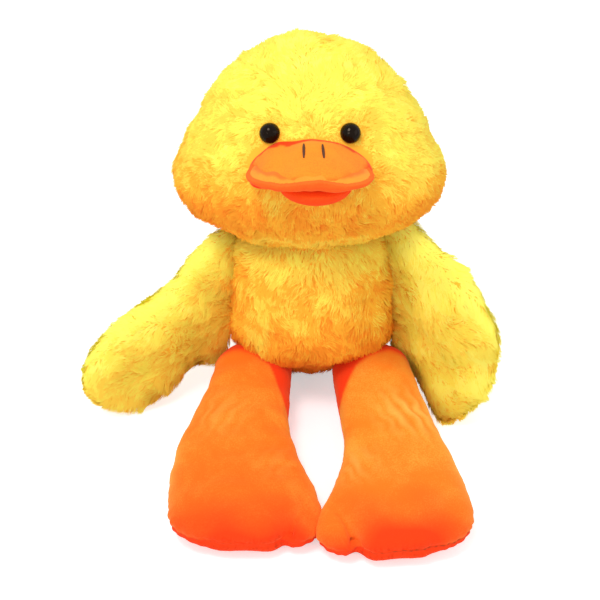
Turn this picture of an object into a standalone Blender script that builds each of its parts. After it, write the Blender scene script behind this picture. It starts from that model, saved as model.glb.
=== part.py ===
"""A seated plush duck, sewn from pile fabric and velour panels and filled with fibre.

Metres, +Z up. The duck faces -Y and sits on the plane z = 0 with the middle of its
seat at the origin. Left and right are the duck's own, so its left side is at +X.
"""

import math
from dataclasses import dataclass

import bmesh
import bpy
from mathutils import Matrix, Vector

# Cloth and fits
PILE_WALL = 0.006
VELOUR_WALL = 0.002
GAP = 0.0003
SEAM_GAP = 0.0004
FIBRE_GAP = 0.001
OVERRUN = 0.02
REACH = 0.3

# Torso
TORSO_HEIGHT = 0.123
TORSO_SINK = 0.009
TORSO_WIDTH = 0.108
TORSO_FRONT = 0.047
TORSO_BACK = 0.045
TORSO_WIDTH_SHARES = (1.22, 1.19, 1.09, 1.01, 0.98, 0.95, 0.93, 0.93, 0.96, 1.02, 1.1)
TORSO_DEPTH_SHARES = (1.0, 1.0, 1.0, 1.0, 1.0, 0.97, 0.93, 0.9, 0.92, 0.98, 1.05)
TORSO_LEAN = 0.03
TORSO_LEAN_SHARES = (0.0, 0.03, 0.2, 0.5, 0.8, 0.96, 1.0, 1.0, 1.0, 1.0, 1.0)
SEAM_FORWARD = 0.012
TORSO_SEAM_DEG = 11
SEAT_HALF_WIDTH = 0.026
SEAT_HALF_DEPTH = 0.018
PELLET_BAG_WIDTH = 0.046
PELLET_BAG_DEPTH = 0.028
PELLET_BAG_HEIGHT = 0.02
PELLET_BAG_LIFT = 0.006

# Neck
NECK_SINK = 0.009
NECK_FORWARD = 0.028
NECK_RADIUS = 0.031
NECK_CLEARANCE = 0.0009
CREASE_DEG = 6.5

# Head
HEAD_HEIGHT = 0.125
HEAD_BELOW_NECK = 0.012
HEAD_WIDTH = 0.156
HEAD_FRONT = 0.06
HEAD_BACK = 0.06
HEAD_ASIDE = 0.002
HEAD_WIDTH_SHARES = (1.06, 1.16, 1.18, 1.13, 1.03, 0.93, 0.88, 0.85, 0.84, 0.84, 0.85)
HEAD_DEPTH_SHARES = (1.02, 1.05, 1.06, 1.04, 1.0, 0.98, 0.95, 0.92, 0.91, 0.91, 0.91)
HEAD_TILT_DEG = 12

# Eyes
EYE_RADIUS = 0.0057
EYE_SPACING = 0.0442
EYE_RISE = 0.0213
EYE_SINK = 0.0015
EYE_STEM_RADIUS = 0.0018
EYE_STEM_LENGTH = 0.011
WASHER_RADIUS = 0.0065
WASHER_THICKNESS = 0.0016
WASHER_SETBACK = 0.0078

# Bill
BILL_WIDTH = 0.07
BILL_LENGTH = 0.052
BILL_UP = 0.017
BILL_DOWN = 0.0075
BILL_ROOT_CAP = 0.0075
BILL_ROUNDING = 0.022
BILL_ROOT_DEPTH = 0.024
BILL_BELOW_EYES = 0.0163
BILL_DROOP_DEG = 4
BILL_WIDTH_SHARES = (0.94, 0.96, 0.98, 0.99, 1.0, 1.0, 1.0)
BILL_UP_SHARES = (0.78, 0.82, 0.86, 0.84, 0.72, 0.6, 0.5)
LOWER_BILL_WIDTH = 0.052
LOWER_BILL_LENGTH = 0.045
LOWER_BILL_UP = 0.0045
LOWER_BILL_DOWN = 0.009
LOWER_BILL_ROOT_CAP = 0.0045
LOWER_BILL_ROUNDING = 0.018
BILL_FULLNESS = 2.3

# Wings
WING_THICKNESS = 0.03
WING_BEAD = 0.0037
WING_CLEARANCE = 0.0007
WING_SEAM_HEIGHT = 0.062
WING_FORWARD = 0.027
WING_WALL = 0.005
WING_TIP_SHARE = 0.58
RIGHT_WING_REACH = 0.094
RIGHT_WING_HEIGHT = 0.084
RIGHT_WING_DROP = 0.036
RIGHT_WING_SWING_DEG = 29
RIGHT_WING_HEIGHT_SHARES = (0.71, 1.01, 1.03, 1.0, 0.98, 0.96, 0.95, 0.95, 0.97, 1.0, 1.0)
RIGHT_WING_DROP_SHARES = (0.06, 0.0, 0.0, 0.22, 0.48, 0.64, 0.77, 0.87, 0.93, 0.96, 1.0)
RIGHT_WING_THICK_SHARES = (0.17, 0.21, 0.48, 0.8, 0.96, 1.0, 1.0, 1.0, 1.0, 1.0, 1.0)
WING_CURL_SHARES = (0.0, 0.0, 0.0, 0.15, 0.4, 0.7, 0.9, 1.0, 1.0, 1.0, 1.0)
RIGHT_WING_CURL = 0.016
LEFT_WING_CURL = 0.018
LEFT_WING_REACH = 0.08
LEFT_WING_HEIGHT = 0.115
LEFT_WING_DROP = 0.0095
LEFT_WING_SWING_DEG = 45
LEFT_WING_HEIGHT_SHARES = (0.52, 0.73, 0.83, 0.9, 0.99, 1.0, 1.02, 1.02, 0.94, 0.93, 0.91)
LEFT_WING_DROP_SHARES = (0.13, -0.44, -0.57, -0.07, 0.56, 0.87, 1.0, 0.97, 0.97, 0.84, 0.68)
LEFT_WING_THICK_SHARES = (0.18, 0.17, 0.4, 0.72, 0.9, 1.0, 1.0, 1.0, 1.0, 1.0, 1.0)

# Legs
HIP_RADIUS = 0.019
HIP_CLEARANCE = 0.0005
SOLE_LIFT = 0.0003
HIP_SPACING = 0.072
HIP_FORWARD = 0.054
LEG_LENGTH = 0.158
RIGHT_LEG_SPLAY_DEG = 1.2
LEFT_LEG_SPLAY_DEG = 4.2
HIP_CANT_DEG = 2.8
LEG_BOW = 0.005
LEG_BOW_SHARES = (0.0, 0.0, 0.2, 0.5, 0.85, 1.0, 0.9, 0.65, 0.35, 0.1, 0.0)
FOOT_WIDTH = 0.0845
TOE_ROUNDING = 0.024
TOE_NOTCH = 0.005
TOE_NOTCH_SHARES = ((-0.5, 1.0), (0.45, 0.3))
TOE_NOTCH_WIDTH_SHARE = 0.16
LEG_WIDTH_SHARES = (0.52, 0.55, 0.575, 0.6, 0.65, 0.73, 0.82, 0.91, 0.97, 1.0, 1.0)
LEG_THICK_SHARES = (1.0, 1.0, 1.0, 0.97, 0.93, 0.88, 0.83, 0.78, 0.74, 0.71, 0.69)
LEG_RAISE_DEG = 6
LEG_HANG_DEG = 85
POCKET_HALF_WIDTH = 0.0245
LEG_FULLNESS = 2.6
LEG_SQUARENESS = 2.3

# Tail
TAIL_LENGTH = 0.04
TAIL_WIDTH = 0.04
TAIL_THICKNESS = 0.02
TAIL_HEIGHT = 0.034
TAIL_ROOT_DEPTH = 0.018
TAIL_RISE_DEG = 28
TAIL_WALL = 0.004
TAIL_WIDTH_SHARES = (1.0, 1.0, 0.95, 0.85, 0.7)

# Fineness of the meshes
AROUND = 24
LIMB_AROUND = 18
SMALL_AROUND = 14
EYE_AROUND = 22
BALL_RINGS = 9
SWEEP_STEPS = 8
SHARP_DEG = 40
DOME_STEPS = 8

EYE_DOME_ANGLES = [math.pi / 2 * k / DOME_STEPS for k in range(DOME_STEPS)]

YELLOW = (0.95, 0.8, 0.2, 1.0)
ORANGE = (1.0, 0.35, 0.05, 1.0)
RED_ORANGE = (0.9, 0.15, 0.02, 1.0)
WHITE = (0.9, 0.9, 0.88, 1.0)
BLACK = (0.01, 0.01, 0.01, 1.0)
PELLET_GREY = (0.6, 0.6, 0.58, 1.0)
PILE_ROUGHNESS = 0.9
VELOUR_ROUGHNESS = 0.8
FIBRE_ROUGHNESS = 0.95
EYE_ROUGHNESS = 0.15
WASHER_ROUGHNESS = 0.5


@dataclass
class Form:
    """A stuffed form along its own +Z, which starts at start and swells to its sizes."""

    start: float
    length: float
    width: float
    up: float
    down: float
    start_cap: float
    end_cap: float
    width_shares: tuple = (1.0, 1.0)
    thick_shares: tuple = (1.0, 1.0)
    drop: float = 0.0
    drop_shares: tuple = (0.0, 0.0)
    underside: float = 0.0
    fullness: float = 2.0
    squareness: float = 2.0
    lean: float = 0.0
    lean_shares: tuple = (0.0, 0.0)
    curl: float = 0.0
    curl_shares: tuple = (0.0, 0.0)
    around: int = LIMB_AROUND
    cap_rings: int = 3
    middle_rings: int = 4


def smooth(shares, t):
    """The value at t, from 0 to 1, on a smooth curve through evenly spaced shares."""
    place = t * (len(shares) - 1)
    first = min(int(place), len(shares) - 2)
    f = place - first
    a, b, c, d = (shares[min(max(first + k, 0), len(shares) - 1)] for k in (-1, 0, 1, 2))
    bend = 2 * a - 5 * b + 4 * c - d
    twist = 3 * (b - c) + d - a
    return b + f * (c - a + f * (bend + f * twist)) / 2


def stations(form, inset):
    """Places along the form, each with how full its section is there, closing at both ends."""
    start = form.start + inset
    length = form.length - 2 * inset
    start_cap = max(form.start_cap - inset, inset)
    end_cap = max(form.end_cap - inset, inset)
    steps = [(k + 1) / (form.cap_rings + 1) for k in range(form.cap_rings)]
    found = []
    for s in steps:
        angle = s * math.pi / 2
        found.append((start + start_cap * (1 - math.cos(angle)), math.sin(angle)))
    middle = length - start_cap - end_cap
    rings = form.middle_rings
    for k in range(rings):
        found.append((start + start_cap + middle * k / max(rings - 1, 1), 1.0))
    for s in reversed(steps):
        angle = s * math.pi / 2
        out = math.cos(angle)
        full = (1 - out**form.fullness) ** (1 / form.fullness)
        found.append((start + length - end_cap * (1 - out), full))
    return found, start, start + length


def lean_at(form, t):
    """How far the middle of the form has moved to its up side, at t from 0 to 1 along it."""
    return form.lean * smooth(form.lean_shares, t)


def form_rings(form, inset=0.0):
    """Rings of points round the form, and its two end points."""
    places, low, high = stations(form, inset)
    full_end = form.start + form.length

    def section(along, full):
        t = min(max((along - form.start) / (full_end - form.start), 0.0), 1.0)
        share = smooth(form.width_shares, t)
        half = (form.width / 2 - inset) * share * full
        thick = smooth(form.thick_shares, t) * full
        centre = -form.drop * smooth(form.drop_shares, t)
        lift = (smooth(form.thick_shares, t) - 1) * form.underside + lean_at(form, t)
        curl = form.curl * smooth(form.curl_shares, t)
        ring = []
        for k in range(form.around):
            angle = 2 * math.pi * (k + 0.5) / form.around
            c, s = math.cos(angle), math.sin(angle)
            power = 2 / form.squareness
            across = math.copysign(abs(c) ** power, c) * half
            curled = curl * min(across / (form.width / 2 * share), 0.0) ** 2
            side = form.up if s > 0 else form.down
            rise = math.copysign(abs(s) ** power, s) * (side - inset) * thick
            ring.append(Vector((centre + across, rise + lift + curled, along)))
        return ring

    rings = [section(along, full) for along, full in places]
    ends = [sum(section(along, 0.0), Vector()) / form.around for along in (low, high)]
    return rings, ends


def grid_mesh(name, rings, ends, turn):
    """A closed mesh over rings of points and their end points, moved by turn."""
    around = len(rings[0])
    points = [turn @ p for ring in rings for p in ring] + [turn @ e for e in ends]
    first, last = len(points) - 2, len(points) - 1
    faces = []
    for k in range(around):
        after = (k + 1) % around
        faces.append((first, after, k))
        for r in range(len(rings) - 1):
            a, b = r * around, (r + 1) * around
            faces.append((a + k, a + after, b + after))
            faces.append((a + k, b + after, b + k))
        top = (len(rings) - 1) * around
        faces.append((top + k, top + after, last))
    mesh = bpy.data.meshes.new(name)
    mesh.from_pydata([tuple(p) for p in points], [], faces)
    bm = bmesh.new()
    bm.from_mesh(mesh)
    bmesh.ops.recalc_face_normals(bm, faces=bm.faces)
    bm.to_mesh(mesh)
    bm.free()
    return mesh


def material(name, colour, roughness):
    """A plain material of one colour."""
    made = bpy.data.materials.get(name) or bpy.data.materials.new(name)
    made.use_nodes = True
    shader = made.node_tree.nodes["Principled BSDF"]
    shader.inputs["Base Color"].default_value = colour
    shader.inputs["Roughness"].default_value = roughness
    return made


def add(name, mesh, parent=None, look=None):
    """A named object of this mesh under its parent."""
    made = bpy.data.objects.new(name, mesh)
    bpy.context.scene.collection.objects.link(made)
    made.parent = parent
    if look:
        mesh.materials.append(look)
        mesh.shade_smooth()
        mesh.set_sharp_from_angle(angle=math.radians(SHARP_DEG))
    return made


def cutter(name, mesh, parent=None):
    """A helper solid that is left out of the part."""
    made = add(name, mesh, parent)
    made.hide_render = True
    made.display_type = "WIRE"
    return made


def cut(target, tool, operation="DIFFERENCE"):
    """Cuts target by tool, or keeps only what lies in it."""
    made = target.modifiers.new(tool.name, "BOOLEAN")
    made.object = tool
    made.operation = operation
    made.solver = "EXACT"


def empty(name, place, turn=None, parent=None):
    """A pivot that carries pieces."""
    made = bpy.data.objects.new(name, None)
    bpy.context.scene.collection.objects.link(made)
    made.parent = parent
    made.matrix_basis = Matrix.Translation(place) @ (turn or Matrix.Identity(4))
    return made


def turned(degrees, axis):
    """A turn about X, Y or Z."""
    return Matrix.Rotation(math.radians(degrees), 4, axis)


def box_mesh(name, low, high):
    """A box between two corners."""
    corners = [(x, y, z) for z in (low[2], high[2]) for y in (low[1], high[1]) for x in (low[0], high[0])]
    faces = [(0, 2, 3, 1), (4, 5, 7, 6), (0, 1, 5, 4), (2, 6, 7, 3), (0, 4, 6, 2), (1, 3, 7, 5)]
    mesh = bpy.data.meshes.new(name)
    mesh.from_pydata(corners, [], faces)
    return mesh


def turned_mesh(name, profile, around):
    """A solid turned about Z from (radius, height) points, the first and last on the axis."""
    rings = []
    for radius, height in profile[1:-1]:
        angles = [2 * math.pi * k / around for k in range(around)]
        rings.append([Vector((radius * math.cos(a), radius * math.sin(a), height)) for a in angles])
    ends = [Vector((0, 0, profile[0][1])), Vector((0, 0, profile[-1][1]))]
    return grid_mesh(name, rings, ends, Matrix.Identity(4))


def oval_mesh(name, half_width, half_depth, low, high, around=AROUND):
    """An upright oval plate."""
    angles = [2 * math.pi * k / around for k in range(around)]
    rings = []
    for height in (low, high):
        rings.append([Vector((half_width * math.cos(a), half_depth * math.sin(a), height)) for a in angles])
    ends = [Vector((0, 0, low)), Vector((0, 0, high))]
    return grid_mesh(name, rings, ends, Matrix.Identity(4))


def ball_mesh(name, radius, around, rings):
    """A ball about the origin."""
    angles = [math.pi * (k / (rings + 1) - 0.5) for k in range(rings + 2)]
    profile = [(radius * math.cos(a), radius * math.sin(a)) for a in angles]
    return turned_mesh(name, profile, around)


def prism_mesh(name, outline, low, high):
    """An outline of (y, z) points carried along X from low to high."""
    rings = [[Vector((x, y, z)) for y, z in outline] for x in (low, high)]
    middle = sum((Vector((0, y, z)) for y, z in outline), Vector()) / len(outline)
    ends = [middle + Vector((x, 0, 0)) for x in (low, high)]
    return grid_mesh(name, rings, ends, Matrix.Identity(4))


def form_mesh(name, form, turn, inset=0.0, floor=-REACH):
    """The closed mesh of a stuffed form, or of what lies inset within it, flat on a floor."""
    rings, ends = form_rings(form, inset)
    mesh = grid_mesh(name, rings, ends, turn)
    for vertex in mesh.vertices:
        vertex.co.z = max(vertex.co.z, floor)
    return mesh


def half_space(name, parent, place, turn, side):
    """A large box on one side of a seam plane, whose normal is the turned Z."""
    near = SEAM_GAP / 2
    low = (-REACH, -REACH, near if side > 0 else -REACH)
    high = (REACH, REACH, REACH if side > 0 else -near)
    made = cutter(name, box_mesh(name, low, high), parent)
    made.location = place
    made.rotation_euler = turn
    return made


def sewn_pair(names, form, turn, wall, parent, looks, seam_place, seam_turn, floor=None):
    """Two cover panels that meet at a seam plane, and the fibre inside them."""
    low, inside, within = (-REACH,) * 3
    if floor is not None:
        low, inside, within = floor, floor + wall, floor + wall + FIBRE_GAP
    hollow = cutter(names[0] + "_hollow", form_mesh("hollow", form, turn, wall, inside), parent)
    panels = []
    for name, look, side in zip(names[:2], looks[:2], (1, -1)):
        panel = add(name, form_mesh(name, form, turn, 0.0, low), parent, look)
        cut(panel, half_space(name + "_side", parent, seam_place, seam_turn, side), "INTERSECT")
        cut(panel, hollow)
        panels.append(panel)
    stuffing = add(names[2], form_mesh(names[2], form, turn, wall + FIBRE_GAP, within), parent, looks[2])
    return [*panels, stuffing]


def full_at(form, along):
    """How full the form is at a place along it, where its end caps are round."""
    from_start = along - form.start
    from_end = form.length - from_start
    out = max(1 - from_start / form.start_cap, 1 - from_end / form.end_cap, 0.0)
    return math.sqrt(1 - out * out)


def half_width_at(form, along):
    """Half the form's width at a place along it."""
    t = (along - form.start) / form.length
    return form.width / 2 * smooth(form.width_shares, t) * full_at(form, along)


def front_at(form, across, along):
    """How far the form's up side stands out at a place on it."""
    t = (along - form.start) / form.length
    thick = form.up * smooth(form.thick_shares, t) * full_at(form, along)
    return thick * math.sqrt(1 - (across / half_width_at(form, along)) ** 2)


# Turns from a form's own axes to those of the piece: along +Z with up at the front, along -Y
# with up at the top, and along -Y with its width upright.
UPRIGHT = Matrix(((1, 0, 0, 0), (0, -1, 0, 0), (0, 0, 1, 0), (0, 0, 0, 1)))
FORWARD = Matrix(((1, 0, 0, 0), (0, 0, -1, 0), (0, 1, 0, 0), (0, 0, 0, 1)))
ON_EDGE = Matrix(((0, 1, 0, 0), (0, 0, -1, 0), (1, 0, 0, 0), (0, 0, 0, 1)))


def ring_mesh(name, inner, outer, low, high, around=SMALL_AROUND):
    """A flat ring about Z."""
    profile = ((inner, low), (outer, low), (outer, high), (inner, high))
    points, faces = [], []
    for k in range(around):
        angle = 2 * math.pi * k / around
        points += [(r * math.cos(angle), r * math.sin(angle), z) for r, z in profile]
        for j in range(4):
            a, b = 4 * k, 4 * ((k + 1) % around)
            faces.append((a + j, b + j, b + (j + 1) % 4, a + (j + 1) % 4))
    mesh = bpy.data.meshes.new(name)
    mesh.from_pydata(points, [], faces)
    return mesh


def torso_form():
    """The pear of the body, which runs on below the seat and is cut flat there."""
    length = TORSO_HEIGHT + TORSO_SINK
    return Form(
        start=-TORSO_SINK,
        length=length,
        width=TORSO_WIDTH,
        up=TORSO_FRONT,
        down=TORSO_BACK,
        start_cap=length / 2,
        end_cap=length / 2,
        width_shares=TORSO_WIDTH_SHARES,
        thick_shares=TORSO_DEPTH_SHARES,
        lean=TORSO_LEAN,
        lean_shares=TORSO_LEAN_SHARES,
        around=AROUND,
        cap_rings=5,
        middle_rings=1,
    )


def head_form():
    """The head, round above and full in the cheeks, measured from the neck pivot."""
    return Form(
        start=-HEAD_BELOW_NECK,
        length=HEAD_HEIGHT,
        width=HEAD_WIDTH,
        up=HEAD_FRONT,
        down=HEAD_BACK,
        start_cap=HEAD_HEIGHT / 2,
        end_cap=HEAD_HEIGHT / 2,
        width_shares=HEAD_WIDTH_SHARES,
        thick_shares=HEAD_DEPTH_SHARES,
        around=AROUND,
        cap_rings=5,
        middle_rings=1,
    )


def make_torso(looks, pivot):
    """Front and back covers, the seat panel, the fibre and the pellet bag."""
    form = torso_form()
    names = ("torso_front_cover", "torso_back_cover", "torso_stuffing")
    seam_place = (0, -SEAM_FORWARD, 0)
    seam_turn = (math.radians(90 + TORSO_SEAM_DEG), 0, 0)
    pieces = sewn_pair(names, form, UPRIGHT, PILE_WALL, None, looks, seam_place, seam_turn, floor=0.0)
    front, back, stuffing = pieces
    size = (SEAT_HALF_WIDTH, SEAT_HALF_DEPTH)
    seat = add("seat_panel", oval_mesh("seat_panel", *size, 0.0, PILE_WALL - GAP), None, looks[1])
    hole_size = (SEAT_HALF_WIDTH + SEAM_GAP, SEAT_HALF_DEPTH + SEAM_GAP)
    hole = cutter("seat_hole", oval_mesh("seat_hole", *hole_size, -OVERRUN, PILE_WALL + GAP))
    for cover in (front, back):
        cut(cover, hole)
    crease = math.tan(math.radians(CREASE_DEG))
    lid_profile = [(0, 0), (REACH, -REACH * crease), (REACH, REACH), (0, REACH)]
    lid = cutter("torso_crease", turned_mesh("torso_crease", lid_profile, AROUND), pivot)
    ball_form = ball_mesh("neck_seat", NECK_RADIUS + NECK_CLEARANCE, AROUND, BALL_RINGS)
    ball = cutter("neck_seat", ball_form, pivot)
    for piece in pieces:
        cut(piece, lid)
        cut(piece, ball)
    bag_form = Form(
        start=-PELLET_BAG_HEIGHT / 2,
        length=PELLET_BAG_HEIGHT,
        width=PELLET_BAG_WIDTH,
        up=PELLET_BAG_DEPTH / 2,
        down=PELLET_BAG_DEPTH / 2,
        start_cap=PELLET_BAG_HEIGHT / 2,
        end_cap=PELLET_BAG_HEIGHT / 2,
        around=SMALL_AROUND,
        middle_rings=1,
    )
    place = Matrix.Translation((0, 0, PILE_WALL + PELLET_BAG_LIFT)) @ UPRIGHT
    bag_floor = PILE_WALL + 2 * GAP
    add("pellet_bag", form_mesh("pellet_bag", bag_form, place, 0.0, bag_floor), None, looks[3])
    nest = cutter("pellet_nest", form_mesh("pellet_nest", bag_form, place, -GAP, PILE_WALL - OVERRUN))
    cut(stuffing, nest)
    return [front, back, stuffing, seat]


def make_neck(pivot, look):
    """The ball of fibre in the neck seam, on which the head turns and nods."""
    return add("neck_stuffing", ball_mesh("neck_stuffing", NECK_RADIUS, AROUND, BALL_RINGS), pivot, look)


def make_head(pivot, looks, colours):
    """Front and back covers and the fibre, with eyes and bill set into the face."""
    form = head_form()
    tilt = turned(-HEAD_TILT_DEG, "X")
    head = empty("head_frame", (-HEAD_ASIDE, 0, 0), tilt, pivot)
    names = ("head_front_cover", "head_back_cover", "head_stuffing")
    seam_turn = (math.radians(90), 0, 0)
    pieces = sewn_pair(names, form, UPRIGHT, PILE_WALL, head, looks, (0, 0, 0), seam_turn)
    crease = math.tan(math.radians(CREASE_DEG))
    lid_profile = [(0, -REACH), (REACH, -REACH), (REACH, REACH * crease), (0, 0)]
    lid = cutter("head_crease", turned_mesh("head_crease", lid_profile, AROUND), pivot)
    for piece in pieces:
        cut(piece, lid)
        cut(piece, bpy.data.objects["neck_seat"])
    for side, name in ((1, "left"), (-1, "right")):
        seat = make_eye(name, side, head, form, colours)
        cut(pieces[0], seat)
        cut(pieces[2], seat)
    make_bill(head, form, colours)


def make_eye(name, side, head, form, colours):
    """A domed safety eye on its stem, its washer, and the cutter that seats both."""
    across, along = side * EYE_SPACING / 2, form.start + form.length / 2 + EYE_RISE
    out = front_at(form, across, along)
    step = EYE_RADIUS
    run_across = (front_at(form, across + step, along) - front_at(form, across - step, along)) / (2 * step)
    run_along = (front_at(form, across, along + step) - front_at(form, across, along - step)) / (2 * step)
    normal = Vector((-run_across, -1, -run_along)).normalized()
    place = Vector((across, -out, along)) - normal * EYE_SINK
    frame = empty("eye_frame_" + name, place, normal.to_track_quat("Z", "Y").to_matrix().to_4x4(), head)
    dome = [(EYE_RADIUS * math.cos(a), EYE_RADIUS * math.sin(a)) for a in EYE_DOME_ANGLES]
    profile = [(0, -EYE_STEM_LENGTH), (EYE_STEM_RADIUS, -EYE_STEM_LENGTH), (EYE_STEM_RADIUS, 0), *dome]
    profile.append((0, EYE_RADIUS))
    add("eye_" + name, turned_mesh("eye_" + name, profile, EYE_AROUND), frame, colours["eye"])
    low = -WASHER_SETBACK - WASHER_THICKNESS
    ring = (EYE_STEM_RADIUS + GAP, WASHER_RADIUS, low, -WASHER_SETBACK)
    add("eye_washer_" + name, ring_mesh("eye_washer_" + name, *ring), frame, colours["washer"])
    stem, wide, rim = EYE_STEM_RADIUS + GAP, WASHER_RADIUS + GAP, EYE_RADIUS + GAP
    bottom = min(-EYE_STEM_LENGTH, low) - GAP
    seat = [(0, bottom), (stem, bottom), (stem, low - GAP), (wide, low - GAP), (wide, GAP - WASHER_SETBACK)]
    seat += [(stem, GAP - WASHER_SETBACK), (stem, -GAP), (rim, -GAP), (rim, OVERRUN), (0, OVERRUN)]
    return cutter("eye_seat_" + name, turned_mesh("eye_seat_" + name, seat, EYE_AROUND), frame)


def make_bill(head, form, colours):
    """The upper and lower bill, two velour cushions sewn to the face one over the other."""
    outside = cutter("head_outside", form_mesh("head_outside", form, UPRIGHT, -GAP), head)
    along = form.start + form.length / 2 + EYE_RISE - BILL_BELOW_EYES
    root = Vector((0, BILL_ROOT_DEPTH - front_at(form, 0.0, along), along))
    frame = empty("bill_frame", root, turned(BILL_DROOP_DEG, "X"), head)
    upper = Form(
        start=0.0,
        length=BILL_LENGTH,
        width=BILL_WIDTH,
        up=BILL_UP,
        down=BILL_DOWN,
        start_cap=BILL_ROOT_CAP,
        end_cap=BILL_ROUNDING,
        width_shares=BILL_WIDTH_SHARES,
        thick_shares=BILL_UP_SHARES,
        fullness=BILL_FULLNESS,
        middle_rings=3,
    )
    looks = (colours["orange"], colours["orange"], colours["fibre"])
    names = ("bill_top_panel", "bill_under_panel", "bill_stuffing")
    for piece in sewn_pair(names, upper, FORWARD, VELOUR_WALL, frame, looks, (0, 0, 0), (0, 0, 0)):
        cut(piece, outside)
    lower = Form(
        start=0.0,
        length=LOWER_BILL_LENGTH,
        width=LOWER_BILL_WIDTH,
        up=LOWER_BILL_UP,
        down=LOWER_BILL_DOWN,
        start_cap=LOWER_BILL_ROOT_CAP,
        end_cap=LOWER_BILL_ROUNDING,
        around=SMALL_AROUND,
        middle_rings=2,
    )
    shift = Matrix.Translation((0, 0, -BILL_DOWN)) @ FORWARD
    above = cutter("bill_outside", form_mesh("bill_outside", upper, FORWARD, -GAP), frame)
    looks = (colours["red"], colours["red"], colours["fibre"])
    names = ("lower_bill_top_panel", "lower_bill_under_panel", "lower_bill_stuffing")
    seam = (0, 0, -BILL_DOWN - LOWER_BILL_UP)
    for piece in sewn_pair(names, lower, shift, VELOUR_WALL, frame, looks, seam, (0, 0, 0)):
        cut(piece, outside)
        cut(piece, above)


def make_wing(name, side, form, swing, looks, torso_pieces):
    """A flat stuffed wing, hinged along the torso's side seam."""
    body = torso_form()
    height = WING_SEAM_HEIGHT
    above, below = (half_width_at(body, height + rise) for rise in (WING_BEAD, -WING_BEAD))
    lean = Matrix.Rotation(math.atan(side * (above - below) / (2 * WING_BEAD)), 4, "Y")
    place = (side * half_width_at(body, height), -WING_FORWARD, height)
    pivot = empty("wing_pivot_" + name, place, lean @ turned(side * (90 - swing), "Z"))
    names = [f"wing_{name}_{piece}" for piece in ("front_cover", "back_cover", "stuffing")]
    if side > 0:
        names[0], names[1] = names[1], names[0]
    sewn_pair(names, form, ON_EDGE, WING_WALL, pivot, looks, (0, 0, 0), (0, math.radians(90), 0))
    reach = form.width / 2
    radius = WING_BEAD + WING_CLEARANCE
    groove = [(0, -reach), (radius, -reach), (radius, reach), (0, reach)]
    slot = cutter("wing_groove_" + name, turned_mesh("wing_groove", groove, SMALL_AROUND), pivot)
    for piece in torso_pieces:
        cut(piece, slot)


def wing_form(reach, height, drop, curl, height_shares, drop_shares, thick_shares):
    """A wing as seen from the front: how far out, how tall and how far down it goes."""
    return Form(
        start=-WING_BEAD,
        length=reach + WING_BEAD,
        width=height,
        up=WING_THICKNESS / 2,
        down=WING_THICKNESS / 2,
        start_cap=WING_BEAD,
        end_cap=reach * WING_TIP_SHARE,
        width_shares=height_shares,
        thick_shares=thick_shares,
        drop=drop,
        drop_shares=drop_shares,
        curl=curl,
        curl_shares=WING_CURL_SHARES,
    )


def leg_outline():
    """What the leg sweeps beside the hip between hanging and raised, as (y, z) points."""
    radius = HIP_RADIUS + HIP_CLEARANCE
    raised, hanging = math.radians(LEG_RAISE_DEG), math.radians(-LEG_HANG_DEG)
    first = (radius * math.sin(raised), radius * math.cos(raised))
    last = (-radius * math.sin(hanging), -radius * math.cos(hanging))
    sweep = (raised - hanging - math.pi) / SWEEP_STEPS
    turns = [math.pi / 2 - raised + sweep * k for k in range(SWEEP_STEPS + 1)]
    arc = [(radius * math.cos(a), radius * math.sin(a)) for a in turns]
    high = (first[0] - REACH * math.cos(raised), first[1] + REACH * math.sin(raised))
    deep = (last[0] - REACH * math.cos(hanging), last[1] + REACH * math.sin(hanging))
    return [high, *arc, deep, (-REACH, -REACH)]


def toe_notch(mesh, side, form):
    """Draws the tip of the foot back between its small inner toe and the broad outer ones."""
    tip = max(-vertex.co.y for vertex in mesh.vertices)
    half_width = max(abs(vertex.co.x) for vertex in mesh.vertices)
    for vertex in mesh.vertices:
        near_tip = max(1 - (tip + vertex.co.y) / form.end_cap, 0.0)
        across = side * vertex.co.x / half_width
        for place, depth_share in TOE_NOTCH_SHARES:
            dip = math.exp(-(((across - place) / TOE_NOTCH_WIDTH_SHARE) ** 2))
            vertex.co.y += TOE_NOTCH * depth_share * dip * near_tip


def make_leg(name, side, splay, looks, torso_pieces):
    """A velour leg that widens into a webbed foot, hinged at the hip."""
    form = Form(
        start=-HIP_RADIUS,
        length=LEG_LENGTH,
        width=FOOT_WIDTH,
        up=HIP_RADIUS,
        down=HIP_RADIUS,
        start_cap=HIP_RADIUS,
        end_cap=TOE_ROUNDING,
        width_shares=LEG_WIDTH_SHARES,
        thick_shares=LEG_THICK_SHARES,
        underside=HIP_RADIUS,
        drop=-side * LEG_BOW,
        drop_shares=LEG_BOW_SHARES,
        fullness=LEG_FULLNESS,
        squareness=LEG_SQUARENESS,
        middle_rings=5,
    )
    place = (side * HIP_SPACING / 2, -HIP_FORWARD, HIP_RADIUS + HIP_CLEARANCE + SOLE_LIFT)
    pivot = empty("hip_pivot_" + name, place, turned(side * splay, "Z") @ turned(-side * HIP_CANT_DEG, "Y"))
    names = [f"leg_{name}_{piece}" for piece in ("upper_panel", "sole_panel", "stuffing")]
    fall = math.atan(HIP_RADIUS * (1 - LEG_THICK_SHARES[-1]) / LEG_LENGTH)
    panels = sewn_pair(names, form, FORWARD, VELOUR_WALL, pivot, looks, (0, 0, 0), (fall, 0, 0))
    for piece in (*panels, bpy.data.objects[names[0] + "_hollow"]):
        toe_notch(piece.data, side, form)
    pocket = prism_mesh("hip_pocket", leg_outline(), -POCKET_HALF_WIDTH, POCKET_HALF_WIDTH)
    slot = cutter("hip_pocket_" + name, pocket, pivot)
    for piece in torso_pieces:
        cut(piece, slot)


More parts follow.
